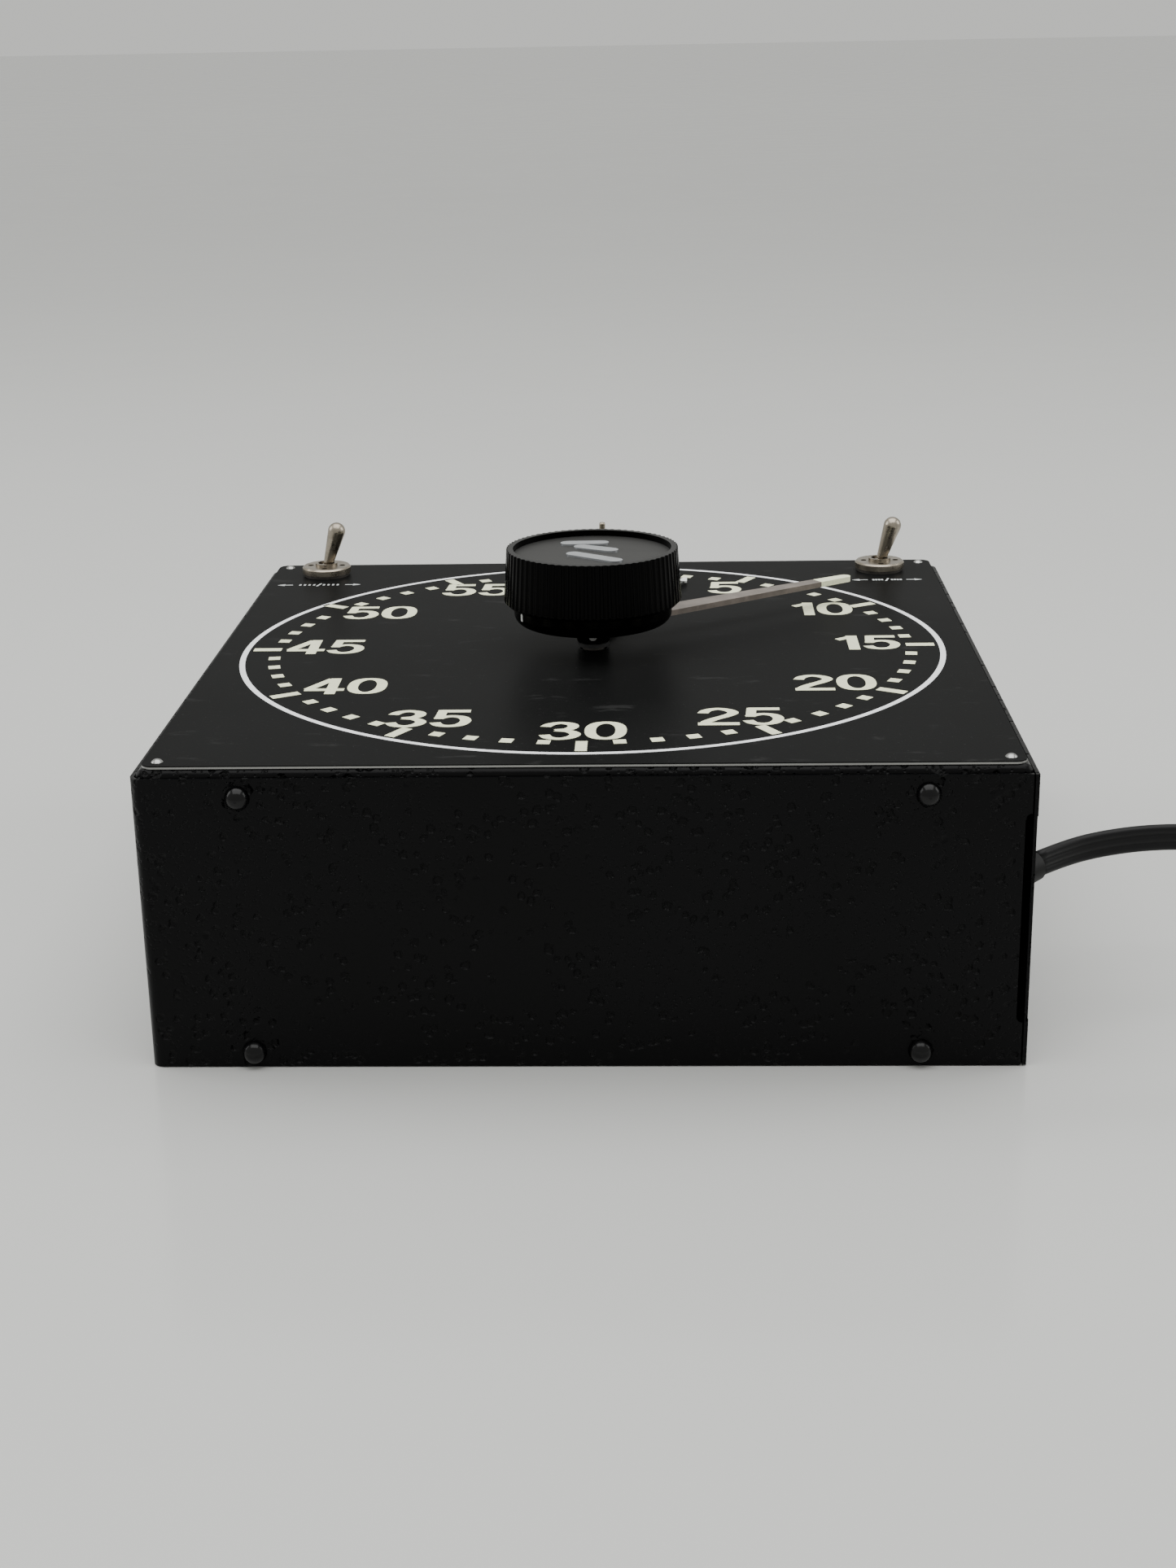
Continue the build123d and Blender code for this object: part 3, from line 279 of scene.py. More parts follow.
def hand_paint(name, colour, tip_colour, reach):
    """Enamelled hand whose end, past reach from the axis, is painted in the tip's colour."""
    g = Graph(name)
    x, y = g.axes()[:2]
    out = (x * x + y * y) ** 0.5
    clouds = g.noise(190, 4)
    brushed = g.noise(900, 3)
    tip = out > reach
    wear = g.noise(420, 3).ramp(0.58, 0.70)
    paint = g.mix(clouds.ramp(0.35, 0.7), tone(colour, 0.86), tone(colour, 1.2))
    worn = g.mix(wear * 0.22, paint, tone(colour, 1.9))
    lume = g.mix(brushed.ramp(0.45, 0.7) * 0.4, (*tip_colour, 1.0), tone(tip_colour, 0.72))
    g.set(Base_Color=g.mix(tip, worn, lume), Roughness=0.34 + clouds * 0.14 + tip * 0.22)
    g.bump(brushed + clouds, 0.00005, 0.4)
    return g.material


def studio_floor(name, colour):
    """Pale, faintly glossy board with smudges and hair scratches."""
    g = Graph(name)
    clouds = g.noise(2.2, 4)
    smudges = g.noise(14, 4)
    hairs = g.noise(6, 2, 0.5, g.stretched(3.0, 30.0, 1.0)).ramp(0.66, 0.70)
    g.set(
        Base_Color=g.mix(clouds.ramp(0.3, 0.7) * 0.6 + hairs * 0.06, (*colour, 1.0), tone(colour, 0.96)),
        Roughness=0.13 + smudges * 0.08,
        Specular_IOR_Level=0.5,
    )
    g.bump(smudges, 0.0002, 0.05)
    return g.material


# ------------------------------------------------------------------------------ meshes
def solid(name, verts, faces, material, smooth=False):
    """Makes a closed mesh object at the origin, with its faces turned outward."""
    mesh = bpy.data.meshes.new(name)
    mesh.from_pydata(verts.tolist(), [], [[int(i) for i in face] for face in faces])
    tidy = bmesh.new()
    tidy.from_mesh(mesh)
    bmesh.ops.recalc_face_normals(tidy, faces=tidy.faces)
    tidy.to_mesh(mesh)
    tidy.free()
    mesh.materials.append(material)
    mesh.polygons.foreach_set("use_smooth", [smooth] * len(mesh.polygons))
    made = bpy.data.objects.new(name, mesh)
    bpy.context.scene.collection.objects.link(made)
    return made


def tube(rings, closed=False):
    """Joins rows of points, each one a loop, into a skin; open ends are capped.

    Vertex (i, j) is point j of row i; face (i, j) spans rows i, i + 1 and points j, j + 1."""
    rings = np.asarray(rings, float)
    rows, around = rings.shape[:2]
    i, j = np.meshgrid(np.arange(rows if closed else rows - 1), np.arange(around), indexing="ij")
    ahead, across = (i + 1) % rows, (j + 1) % around
    faces = np.stack(
        [i * around + j, ahead * around + j, ahead * around + across, i * around + across], -1
    ).reshape(-1, 4)
    faces = [list(f) for f in faces]
    if not closed:
        faces += [list(range(around))[::-1], list((rows - 1) * around + np.arange(around))]
    return rings.reshape(-1, 3), faces


def stroke(path, across, low, high, closed=False):
    """A flat stroke: at each point of path it reaches across to both sides, from low to high."""
    path, across = np.asarray(path, float), np.asarray(across, float)
    left, right = path + across, path - across
    floor, top = np.full(len(path), low), np.full(len(path), high)
    rows = np.stack(
        [
            np.column_stack([left, floor]),
            np.column_stack([right, floor]),
            np.column_stack([right, top]),
            np.column_stack([left, top]),
        ],
        axis=1,
    )
    return tube(rows, closed)


def gather(parts):
    """Puts several skins into one list of points and faces."""
    verts, faces, start = [], [], 0
    for points, skins in parts:
        verts.append(points)
        faces += [[start + i for i in face] for face in skins]
        start += len(points)
    return np.concatenate(verts), faces


def curve_through(points, steps=7):
    """Catmull-Rom curve through the points, steps samples for each span."""
    p = np.asarray(points, float)
    p = np.concatenate([[2 * p[0] - p[1]], p, [2 * p[-1] - p[-2]]])
    t = np.linspace(0, 1, steps, endpoint=False)[:, None]
    spans = [
        0.5
        * (
            2 * b
            + (c - a) * t
            + (2 * a - 5 * b + 4 * c - d) * t**2
            + (3 * b - a - 3 * c + d) * t**3
        )
        for a, b, c, d in zip(p, p[1:], p[2:], p[3:])
    ]
    return np.concatenate([*spans, p[-2:-1]])


def nib(path, broad, narrow, closed=False):
    """Reach of an elliptical pen either side of a path: broad sideways, narrow up and down.

    With n the path's unit normal, the reach is (broad^2 nx, narrow^2 ny) over the length of
    (broad nx, narrow ny)."""
    path = np.asarray(path, float)
    if closed:
        along = np.roll(path, -1, 0) - np.roll(path, 1, 0)
    else:
        along = np.gradient(path, axis=0)
    along /= np.linalg.norm(along, axis=1)[:, None]
    normal = np.column_stack([-along[:, 1], along[:, 0]])
    pen = np.array([broad, narrow])
    return normal * pen**2 / np.linalg.norm(normal * pen, axis=1)[:, None]


# ------------------------------------------------------------------------------ figures
# Millimetres: a figure's width and height, and the pen's half width sideways and up and down.
WIDE, TALL, BROAD, NARROW = 10.8, 15.3, 1.45, 0.86
ONE_WIDE = 6.6  # width given to a 1
FIGURE_GAP = 0.8  # between the two figures of a number


def figure_strokes(digit):
    """Strokes of a wide bold figure in millimetres: (points, curved, closed, broad, narrow)."""
    mid, low, high = WIDE / 2, NARROW, TALL - NARROW
    left, right = BROAD, WIDE - BROAD
    if digit == "0":
        turn = np.linspace(0, 2 * pi, 40, endpoint=False)
        power = 0.86
        x = mid + (mid - left) * np.sign(np.cos(turn)) * np.abs(np.cos(turn)) ** power
        y = TALL / 2 + (TALL / 2 - low) * np.sign(np.sin(turn)) * np.abs(np.sin(turn)) ** power
        return [(np.column_stack([x, y]), False, True, BROAD, NARROW)]
    if digit == "1":
        return [
            ([(4.8, 0.0), (4.8, TALL)], False, False, BROAD + 0.15, NARROW),
            ([(0.5, 10.9), (4.2, 13.7)], False, False, 1.1, 1.15),
        ]
    if digit == "2":
        return [
            (
                [(left, 10.6), (2.6, 13.1), (mid, high), (8.3, 13.1), (right, 10.7), (7.4, 8.0),
                 (4.6, 5.6), (2.5, 3.2), (1.9, 1.6)],
                True, False, BROAD, NARROW,
            ),
            ([(0.1, 1.15), (WIDE, 1.15)], False, False, BROAD, 1.15),
        ]
    if digit == "3":
        return [
            ([(left, 11.2), (2.8, 13.4), (mid, high), (8.0, 13.3), (8.6, 11.1), (7.2, 8.9), (4.2, 8.1)],
             True, False, BROAD, NARROW),
            ([(4.2, 8.1), (7.6, 7.2), (right, 4.7), (8.1, 2.0), (mid, low), (2.7, 1.8), (left, 4.2)],
             True, False, BROAD, NARROW),
        ]
    if digit == "4":
        return [
            ([(7.5, 0.0), (7.5, TALL)], False, False, BROAD, NARROW),
            ([(6.6, TALL - 0.6), (1.0, 4.6)], False, False, 1.35, 1.1),
            ([(0.1, 4.2), (WIDE + 0.2, 4.2)], False, False, BROAD, 1.15),
        ]
    if digit == "5":
        return [
            ([(1.9, TALL - 1.15), (10.0, TALL - 1.15)], False, False, BROAD, 1.15),
            ([(2.75, TALL - 0.2), (2.2, 7.2)], False, False, 1.3, NARROW),
            ([(1.9, 7.6), (3.6, 9.0), (6.0, 9.5), (8.4, 8.3), (right, 5.3), (8.1, 2.0), (mid, low),
              (2.7, 1.7), (left, 4.0)], True, False, BROAD, NARROW),
        ]
    return [
        ([(right, 11.6), (8.0, 13.5), (mid, high), (2.7, 12.4), (left, 7.6), (2.5, 2.6), (mid, low),
          (8.3, 2.2), (right, 4.9), (8.2, 7.8), (mid, 8.8), (2.6, 7.2)], True, False, BROAD, NARROW),
    ]


def figure(digit, x, y, low, high):
    """Skins in metres of one figure, whose lower left corner is at x, y in millimetres."""
    skins = []
    for order, (points, curved, closed, broad, narrow) in enumerate(figure_strokes(digit)):
        path = curve_through(points) if curved else np.asarray(points, float)
        reach = nib(path, broad, narrow, closed)
        skins.append(stroke((path + (x, y)) * MM, reach * MM, low, high + order * STROKE_STEP, closed))
    return skins


def ink_span(sizes):
    """Foot and top of the dial's print."""
    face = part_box("dial_plate")[1].z
    return face - INK_ROOT, face + sizes.ink


# ------------------------------------------------------------------------------ settings
class TimerColours(bpy.types.PropertyGroup):
    """Colours of the timer's finishes."""

    case: FloatVectorProperty(
        name="Case", description="Hammered enamel", subtype="COLOR", default=(0.0009, 0.0009, 0.0012)
    )
    dial: FloatVectorProperty(
        name="Dial", description="Satin dial sheet", subtype="COLOR", default=(0.0075, 0.0077, 0.0077)
    )
    lume: FloatVectorProperty(
        name="Luminous ink", description="Figures and ticks", subtype="COLOR", default=(0.92, 0.94, 0.68)
    )
    ring: FloatVectorProperty(
        name="Ring", description="White ring", subtype="COLOR", default=(0.97, 0.98, 1.0)
    )
    hand: FloatVectorProperty(
        name="Sweep hand", description="Hand enamel", subtype="COLOR", default=(0.17, 0.145, 0.125)
    )
    knob: FloatVectorProperty(
        name="Knob", description="Knob moulding", subtype="COLOR", default=(0.0010, 0.0010, 0.0010)
    )
    nickel: FloatVectorProperty(
        name="Nickel", description="Switch plating", subtype="COLOR", default=(0.36, 0.32, 0.26)
    )
    lead: FloatVectorProperty(
        name="Lead", description="Lead sheath", subtype="COLOR", default=(0.0035, 0.0035, 0.0040)
    )
    floor: FloatVectorProperty(
        name="Floor", description="Studio floor", subtype="COLOR", default=(0.64, 0.645, 0.63)
    )


class TimerSizes(bpy.types.PropertyGroup):
    """Sizes of what is printed on the dial, and of the lead."""

    ring_radius: FloatProperty(
        name="Ring radius", description="Outer radius of the white ring", unit="LENGTH", default=0.1012
    )
    ring_width: FloatProperty(
        name="Ring width", description="Width of the white ring", unit="LENGTH", default=0.0016
    )
    tick_out: FloatProperty(
        name="Tick end", description="Outer end of a five second tick", unit="LENGTH", default=0.0985
    )
    tick_in: FloatProperty(
        name="Tick start", description="Inner end of a five second tick", unit="LENGTH", default=0.0904
    )
    tick_width: FloatProperty(
        name="Tick width", description="Width of a five second tick", unit="LENGTH", default=0.0030
    )
    dot_radius: FloatProperty(
        name="Dot circle", description="Radius of the circle of dots", unit="LENGTH", default=0.09145
    )
    dot_size: FloatProperty(
        name="Dot size", description="Side of a one second dot", unit="LENGTH", default=0.0033
    )
    print_shift: FloatProperty(
        name="Print shift", description="Print's centre left of the hands", unit="LENGTH", default=0.0004
    )
    ink: FloatProperty(
        name="Ink thickness", description="How far print stands off the dial", unit="LENGTH", default=0.00006
    )
    figure_circle: FloatProperty(
        name="Figure circle", description="Radius of the circle of figures", unit="LENGTH", default=0.0776
    )
    tip_reach: FloatProperty(
        name="Luminous tip", description="Where the sweep hand turns luminous", unit="LENGTH", default=0.0818
    )
    arrow_reach: FloatProperty(
        name="Arrow start", description="Where the minute hand turns white", unit="LENGTH", default=0.0798
    )
    lead_width: FloatProperty(
        name="Lead width", description="Width of the flat lead", unit="LENGTH", default=0.0074
    )
    core_radius: FloatProperty(
        name="Core radius", description="Radius of each of its three ridges", unit="LENGTH", default=0.00142
    )


# ------------------------------------------------------------------------------ pieces
class TIMER_OT_stage(bpy.types.Operator):
    """Adds the floor, the lights and the camera"""

    bl_idname = "timer.stage"
    bl_label = "Stage"

    floor_reach = 40.0  # metres from the middle to each side
    camera_place = (0.0208, -0.62577, 0.24938)
    pitch, yaw, roll = 0.325, -0.037, -0.018  # radians: down, right of +Y, about its axis

    def execute(self, context):
        across = np.linspace(-self.floor_reach, self.floor_reach, 41)
        x, y = np.meshgrid(across, across, indexing="ij")
        points = np.stack([x.ravel(), y.ravel(), np.zeros(x.size)], 1)
        rows = len(across)
        i, j = np.meshgrid(np.arange(rows - 1), np.arange(rows - 1), indexing="ij")
        corner = (i * rows + j).ravel()
        faces = np.stack([corner, corner + rows, corner + rows + 1, corner + 1], 1)
        mesh = bpy.data.meshes.new("floor")
        mesh.from_pydata(points.tolist(), [], faces.tolist())
        mesh.materials.append(studio_floor("floor", context.scene.timer_colours.floor))
        floor = bpy.data.objects.new("floor", mesh)
        context.scene.collection.objects.link(floor)

        world = bpy.data.worlds.new("studio")
        world.use_nodes = True
        sky = world.node_tree.nodes["Background"]
        sky.inputs["Color"].default_value = (0.62, 0.622, 0.60, 1.0)
        sky.inputs["Strength"].default_value = 1.08
        context.scene.world = world

        self.lamp("overhead", (0.0, 0.0, 1.5), (0.0, 0.0, 0.0), 1.8, 25.0)
        self.lamp("left_side", (-1.3, 0.2, 0.7), (0.0, 0.1, 0.05), 0.8, 5.0)
        self.lamp("right_side", (1.3, 0.2, 0.7), (0.0, 0.1, 0.05), 0.8, 5.0)

        pitch, yaw, roll = self.pitch, self.yaw, self.roll
        ahead = Vector((sin(yaw) * cos(pitch), cos(yaw) * cos(pitch), -sin(pitch)))
        right = Vector((cos(yaw), -sin(yaw), 0.0))
        up = right.cross(ahead)
        side = cos(roll) * right + sin(roll) * up
        top = cos(roll) * up - sin(roll) * right
        data = bpy.data.cameras.new("camera")
        data.sensor_fit = "VERTICAL"
        data.sensor_height = 36.0
        data.lens = 51.32
        data.dof.use_dof = False
        camera = bpy.data.objects.new("camera", data)
        turn = Matrix((side, top, -ahead)).transposed().to_4x4()
        camera.matrix_world = Matrix.Translation(self.camera_place) @ turn
        context.scene.collection.objects.link(camera)
        context.scene.camera = camera
        return {"FINISHED"}

    def lamp(self, name, place, target, size, power):
        """Adds a square soft light that faces the target."""
        data = bpy.data.lights.new(name, "AREA")
        data.shape = "SQUARE"
        data.size = size
        data.energy = power
        lamp = bpy.data.objects.new(name, data)
        lamp.location = place
        lamp.rotation_euler = (Vector(target) - Vector(place)).to_track_quat("-Z", "Y").to_euler()
        bpy.context.scene.collection.objects.link(lamp)


class TIMER_OT_lead(bpy.types.Operator):
    """Lays the flat three-core lead along its route and round its coil"""

    bl_idname = "timer.lead"
    bl_label = "Lead"

    route = [
        (117.9, -69.2, 38.2), (127.0, -61.9, 39.1), (139.5, -57.2, 40.3), (153.5, -55.0, 41.0),
        (170.0, -53.8, 40.2), (190.0, -54.5, 35.0), (209.0, -57.0, 24.5), (227.0, -60.2, 13.0),
        (244.0, -62.4, 6.4),
    ]
    tail = [(0.5, 18.0, -0.4), (-5.7, 36.0, -0.6), (-17.7, 52.0, 0.15), (-33.7, 64.0, 0.15)]
    turns = 6.25
    pitch = 3.1  # from one turn to the next, in millimetres
    per_turn = 16  # points in a turn
    rise = 0.4  # share of a turn in which the lead climbs to the upper layer

    def coil_points(self, lead):
        """Centres of the turns: two layers, wound inward below and outward above.

        At turn s the angle is -90 + 360 s degrees and the radius is the outer one less the
        pitch times the distance in turns from the nearer end."""
        low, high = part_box("lead_coil")
        middle = (low + high) / 2
        outer = (high.x - low.x) / 2 - lead / 2
        steps = int(self.turns * self.per_turn)
        s = np.linspace(0.0, self.turns, steps + 1)
        radius = outer - self.pitch * MM * np.minimum(s, self.turns - s)
        climb = np.clip((s - self.turns / 2 + self.rise / 2) / self.rise, 0.0, 1.0)
        z = low.z + lead / 2 + (high.z - low.z - lead) * climb**2 * (3 - 2 * climb)
        angle = radians(-90) + 2 * pi * s
        return np.column_stack([middle.x + radius * np.cos(angle), middle.y + radius * np.sin(angle), z])

    def centreline(self, points):
        """Points along the smooth spline whose control points are the route's."""
        data = bpy.data.curves.new("lead_route", "CURVE")
        data.dimensions = "3D"
        data.resolution_u = 6
        spline = data.splines.new("NURBS")
        spline.points.add(len(points) - 1)
        spline.points.foreach_set("co", np.column_stack([points, np.ones(len(points))]).ravel())
        spline.order_u = 3
        spline.use_endpoint_u = True
        guide = bpy.data.objects.new("lead_route", data)
        bpy.context.scene.collection.objects.link(guide)
        bpy.context.view_layer.update()
        mesh = bpy.data.meshes.new_from_object(guide)
        line = np.empty(len(mesh.vertices) * 3)
        mesh.vertices.foreach_get("co", line)
        bpy.data.objects.remove(guide)
        bpy.data.meshes.remove(mesh)
        return line.reshape(-1, 3)

    def section(self, width, core):
        """Outline of three ridges side by side: (height across the lead, half thickness)."""
        spacing = width / 2 - core
        crowding = 0.9  # under 1, it draws the points towards the two edges
        web_share = 0.62  # half thickness between two ridges, as a share of theirs
        u = np.linspace(-1.0, 1.0, 25)
        u = width / 2 * np.sign(u) * np.abs(u) ** crowding
        centres = np.array([-spacing, 0.0, spacing])
        bulge = np.sqrt(np.maximum(core**2 - (u[:, None] - centres) ** 2, 0.0)).max(1)
        web = np.where(np.abs(u) < spacing, core * web_share, 0.0)
        half = np.maximum(bulge, web)
        return np.concatenate(
            [np.column_stack([u, half]), np.column_stack([u[::-1], -half[::-1]])[1:-1]]
        )

    def execute(self, context):
        sizes, colours = context.scene.timer_sizes, context.scene.timer_colours
        coil = self.coil_points(sizes.lead_width)
        points = np.concatenate([np.array(self.route) * MM, coil, coil[-1] + np.array(self.tail) * MM])
        line = self.centreline(points)
        along = np.gradient(line, axis=0)
        along /= np.linalg.norm(along, axis=1)[:, None]
        up = np.array([0.0, 0.0, 1.0]) - along * along[:, 2:3]
        up /= np.linalg.norm(up, axis=1)[:, None]
        side = np.cross(along, up)
        shape = self.section(sizes.lead_width, sizes.core_radius)
        rings = line[:, None] + up[:, None] * shape[:, :1] + side[:, None] * shape[:, 1:]
        verts, faces = tube(rings)
        rubber = moulded("lead_sheath", colours.lead, 0.36, 0.22)
        lead = solid("lead", verts, faces, rubber, smooth=True)
        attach(lead, "case")
        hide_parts("lead_run", "lead_coil", "lead_tail")
        return {"FINISHED"}


class TIMER_OT_finishes(bpy.types.Operator):
    """Gives every CAD piece its finish"""

    bl_idname = "timer.finishes"
    bl_label = "Finishes"

    def execute(self, context):
        sizes, colours = context.scene.timer_sizes, context.scene.timer_colours
        dial_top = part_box("dial_plate")[1].z
        enamel = hammered_enamel("case_enamel", colours.case)
        nickel = plated("aged_nickel", colours.nickel, 0.3, 0.24)
        zinc = plated("zinc_plate", (0.58, 0.58, 0.57), 0.35, 0.34)
        brass = plated("machined_brass", (0.66, 0.47, 0.2), 0.3, 0.3)
        phenolic = moulded("brown_phenolic", (0.014, 0.008, 0.005), 0.34, 0.3)
        rubber = moulded("black_rubber", (0.0045, 0.0045, 0.0045), 0.5, 0.25)
        copper = plated("winding", (0.45, 0.17, 0.07), 0.4, 0.38)
        knob = moulded("knob_moulding", colours.knob, 0.08, 0.05, lines=0.5)
        finishes = {
            enamel: ["case_wrapper", "front_frame", "back_cover"],
            moulded("foot_gloss", (0.0012, 0.0012, 0.0014), 0.12, 0.25): ["foot_pads"],
            dial_enamel("dial_sheet", colours.dial, (0.30, 0.30, 0.29), dial_top): ["dial_plate"],
            plated("bright_screws", (0.42, 0.42, 0.41), 0.3, 0.16): ["dial_screws"],
            nickel: ["left_lever", "right_lever", "toggle_nuts", "push_switch_nut", "push_plunger"],
            plated("dark_washer", (0.14, 0.13, 0.12), 0.5, 0.4): ["toggle_washers", "minute_tube"],
            zinc: [
                "cover_screws", "corner_posts", "movement_studs", "pillar_screws", "centre_arbor",
                "clutch_spring", "intermediate_arbor", "motor_case", "motor_shaft", "buzzer_frame",
                "buzzer_reed", "knob_set_screw",
            ],
            brass: [
                "movement_front_plate", "movement_back_plate", "movement_pillars", "centre_bush",
                "back_arbor_bush", "intermediate_bushes", "centre_pinion", "drive_wheel", "drive_hub",
                "minute_wheel", "zero_cam", "intermediate_wheel",
                "intermediate_pinion", "motor_pinion", "zero_switch_blade", "plug_pins",
                "terminal_screws",
            ],
            phenolic: ["toggle_bodies", "push_switch_body", "zero_switch", "terminal_block",
                       "outlet_sockets"],
            rubber: ["cord_guard", "coil_tie", "plug"],
            copper: ["motor_coil", "buzzer_coil"],
            knob: ["setting_knob"],
            moulded("knob_inlay", (0.022, 0.022, 0.021), 0.42, 0.3): ["knob_disc"],
            plated("badge_metal", (0.60, 0.62, 0.64), 0.25, 0.36): ["knob_badge"],
            hand_paint("sweep_paint", colours.hand, colours.lume, sizes.tip_reach): ["sweep_hand"],
            hand_paint("minute_paint", (0.03, 0.03, 0.03), (0.80, 0.82, 0.80), sizes.arrow_reach): [
                "minute_hand"
            ],
        }
        dressed = set()
        for material, names in finishes.items():
            for name in names:
                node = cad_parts[name]
                for place in node.material_slots:
                    place.material = material
                dressed.add(name)
        bare = set(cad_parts) - dressed - {"lead_run", "lead_coil", "lead_tail"}
        if bare:
            raise RuntimeError(f"no finish for {sorted(bare)}")
        return {"FINISHED"}


class TIMER_OT_dial_print(bpy.types.Operator):
    """Prints the ring, ticks, dots and figures on the dial"""

    bl_idname = "timer.dial_print"
    bl_label = "Dial print"

    # The print is not quite regular. Lengths in millimetres.
    nudges = {5: 1.2, 10: 2.1, 15: 2.1, 25: 1.7, 35: -1.7, 40: 0.9, 50: 0.6}  # number: to the right
    oval = 1.05  # height of the figures' circle over its width
    side_lift = 2.6  # rise of the numbers at the two sides
    odd_tick, tick_slip = 50, 4.0  # this tick is printed out of line, by so much

    def execute(self, context):
        sizes, colours = context.scene.timer_sizes, context.scene.timer_colours
        low, high = ink_span(sizes)
        lume = printed("luminous_ink", colours.lume, 0.35)
        white = printed("ring_ink", colours.ring, 0.25)

        turn = np.linspace(0, 2 * pi, 240, endpoint=False)
        outward = np.column_stack([np.sin(turn), np.cos(turn)])
        middle = sizes.ring_radius - sizes.ring_width / 2
        ring = stroke(outward * middle, outward * sizes.ring_width / 2, low, high, closed=True)
        self.place(solid("dial_ring", ring[0] - (sizes.print_shift, 0, 0), ring[1], white))

        ticks, dots = [], []
        for second in range(60):
            angle = 2 * pi * second / 60
            out = np.array([sin(angle), cos(angle)])
            centre = np.array([-sizes.print_shift, 0.0])
            across = np.array([out[1], -out[0]])
            if second % 5 == 0:
                slip = np.array([0.0, self.tick_slip * MM * (second == self.odd_tick)])
                path = [centre + out * sizes.tick_in + slip, centre + out * sizes.tick_out + slip]
                ticks.append(stroke(path, [across * sizes.tick_width / 2] * 2, low, high))
            else:
                half = sizes.dot_size / 2
                path = [centre + out * (sizes.dot_radius - half), centre + out * (sizes.dot_radius + half)]
                dots.append(stroke(path, [across * half] * 2, low, high))
        self.place(solid("dial_ticks", *gather(ticks), lume))
        self.place(solid("dial_dots", *gather(dots), lume))

        skins = []
        circle = sizes.figure_circle / MM
        for number in range(5, 65, 5):
            angle = 2 * pi * number / 60
            text = str(number)
            widths = [ONE_WIDE if digit == "1" else WIDE for digit in text]
            left = (sum(widths) + FIGURE_GAP * (len(text) - 1)) / 2 + sizes.print_shift / MM
            x = circle * sin(angle) + self.nudges.get(number, 0.0) - left
            y = self.oval * circle * cos(angle) + self.side_lift * sin(angle) ** 2 - TALL / 2
            for digit, width in zip(text, widths):
                skins += figure(digit, x, y, low, high)
                x += width + FIGURE_GAP
        self.place(solid("dial_figures", *gather(skins), lume))
        return {"FINISHED"}

    def place(self, piece):
        """Fixes a print to the case."""
        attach(piece, "case")


class TIMER_OT_legends(bpy.types.Operator):
    """Prints an arrow each way and a slanted bar in front of each toggle switch"""

    bl_idname = "timer.legends"
    bl_label = "Switch legends"

    # Millimetres, measured from the legend's middle, or half widths of its strokes.
    ahead_of_nut = 14.5
    marks = {"left": (-0.6, 13.5), "right": (1.2, 11.2)}  # shift from the nut, reach of an arrow
    shaft_start, head_start = 5.0, 2.4  # back from the arrow's point
    bars, bar_start, bar_end = 4, 1.6, 5.9
    shaft_half, head_half, point_half = 0.3, 1.1, 0.05
    bar_half, bar_reach = 0.35, 0.8
    slant_half, slant_x, slant_y = 0.3, 0.5, 1.8

    def arrow(self, x, y, way, reach):
        """Strokes of one arrow and of the bars between it and the middle: (path, half widths)."""
        neck, point = reach - self.head_start, x + way * reach
        strokes = [
            ([(x + way * (reach - self.shaft_start), y), (x + way * neck, y)], [(0, self.shaft_half)] * 2),
            ([(x + way * neck, y), (point, y)], [(0, self.head_half), (0, self.point_half)]),
        ]
        spacing = (reach - self.bar_start - self.bar_end) / self.bars
        for bar in range(self.bars):
            start = x + way * (self.bar_start + bar * spacing)
            path = [(start, y - self.bar_reach), (start, y + self.bar_reach)]
            strokes.append((path, [(self.bar_half, 0)] * 2))
        return strokes

    def execute(self, context):
        low, high = ink_span(context.scene.timer_sizes)
        low_nut, high_nut = (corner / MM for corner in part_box("toggle_nuts"))
        radius = (high_nut.y - low_nut.y) / 2
        y = low_nut.y + radius - self.ahead_of_nut
        middles = {"left": low_nut.x + radius, "right": high_nut.x - radius}
        strokes = []
        for side, (shift, reach) in self.marks.items():
            x = middles[side] + shift
            strokes += self.arrow(x, y, -1, reach) + self.arrow(x, y, 1, reach)
            slant = [(x - self.slant_x, y - self.slant_y), (x + self.slant_x, y + self.slant_y)]
            strokes.append((slant, [(self.slant_half, 0)] * 2))
        skins = [stroke(np.array(path) * MM, np.array(half) * MM, low, high) for path, half in strokes]
        legends = solid("switch_legends", *gather(skins), printed("legend_ink", (0.6, 0.62, 0.62), 0.3))
        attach(legends, "case")
        return {"FINISHED"}


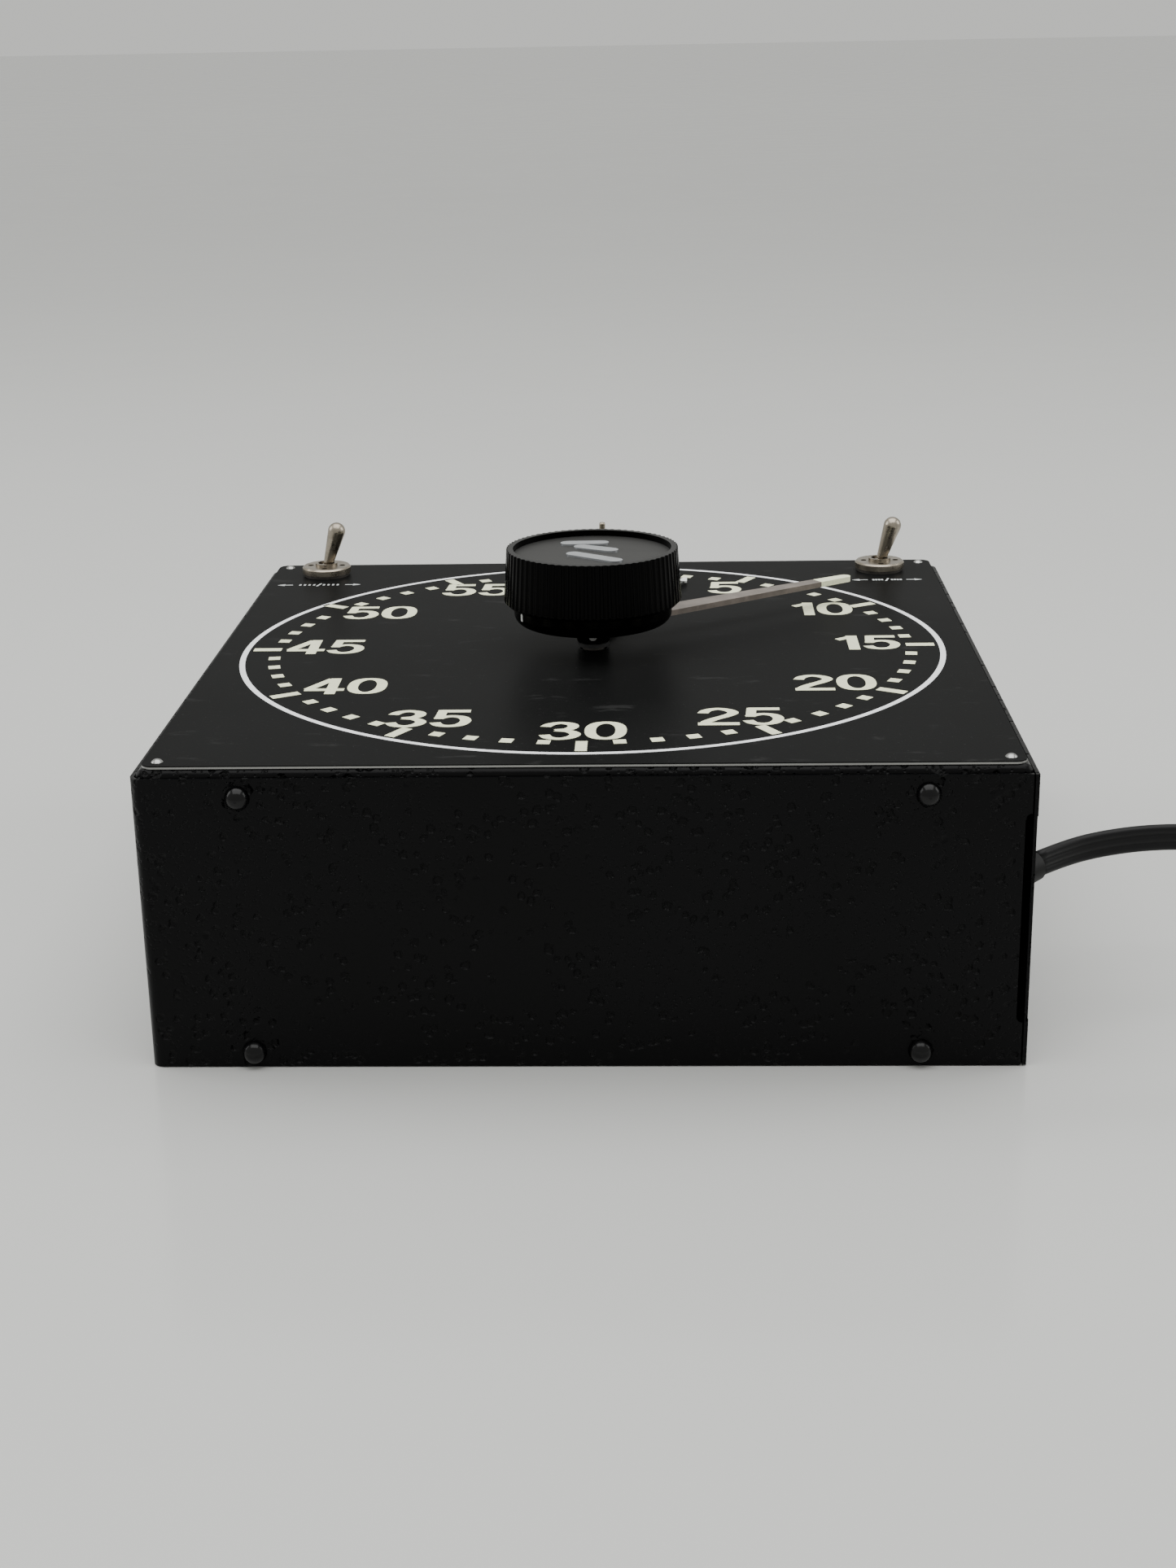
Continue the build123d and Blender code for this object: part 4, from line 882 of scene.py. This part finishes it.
class TIMER_OT_knob_mark(bpy.types.Operator):
    """Paints a short upright highlight on the knob's drum, a painted highlight standing for a glint"""

    bl_idname = "timer.knob_mark"
    bl_label = "Knob mark"

    # Millimetres, round the drum's face at 22.7.
    turn = radians(-151.0)
    face, half_width = 22.7, 0.55
    inner, outer = 22.66, 22.78
    foot, head = 90.9, 94.0

    def execute(self, context):
        """The painted highlight is a shell: angle t across it and height z up it, at two radii
        either side of the drum's face."""
        half = self.half_width / self.face
        t = np.linspace(self.turn - half, self.turn + half, 5)[:, None]
        radius = np.array([self.inner, self.outer, self.outer, self.inner])
        height = np.array([self.foot, self.foot, self.head, self.head])
        rings = np.stack([radius * np.cos(t), radius * np.sin(t), height + 0 * t], -1)
        verts, faces = tube(rings * MM)
        # Painted highlight: a pale patch standing for a glint on the drum, made with the ink recipe.
        highlight = solid("knob_mark", verts, faces, printed("knob_highlight_paint", (0.75, 0.76, 0.74), 0.3))
        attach(highlight, "sweep")
        return {"FINISHED"}


class TIMER_PT_panel(bpy.types.Panel):
    """Lists the timer's pieces and colours"""

    bl_label = "Interval timer"
    bl_idname = "TIMER_PT_panel"
    bl_space_type = "VIEW_3D"
    bl_region_type = "UI"
    bl_category = "Timer"

    def draw(self, context):
        for operator in OPERATORS:
            self.layout.operator(operator.bl_idname)
        for group in (context.scene.timer_sizes, context.scene.timer_colours):
            for name in group.__annotations__:
                self.layout.prop(group, name)


OPERATORS = (
    TIMER_OT_stage,
    TIMER_OT_lead,
    TIMER_OT_finishes,
    TIMER_OT_dial_print,
    TIMER_OT_legends,
    TIMER_OT_knob_mark,
)
CLASSES = (TimerColours, TimerSizes, *OPERATORS, TIMER_PT_panel)


def register():
    for kind in CLASSES:
        bpy.utils.register_class(kind)
    bpy.types.Scene.timer_colours = PointerProperty(type=TimerColours)
    bpy.types.Scene.timer_sizes = PointerProperty(type=TimerSizes)


def unregister():
    del bpy.types.Scene.timer_colours
    del bpy.types.Scene.timer_sizes
    for kind in reversed(CLASSES):
        bpy.utils.unregister_class(kind)


def main():
    register()
    bpy.ops.timer.stage()
    bpy.ops.timer.lead()
    bpy.ops.timer.finishes()
    bpy.ops.timer.dial_print()
    bpy.ops.timer.legends()
    bpy.ops.timer.knob_mark()


if __name__ == "__main__":
    main()
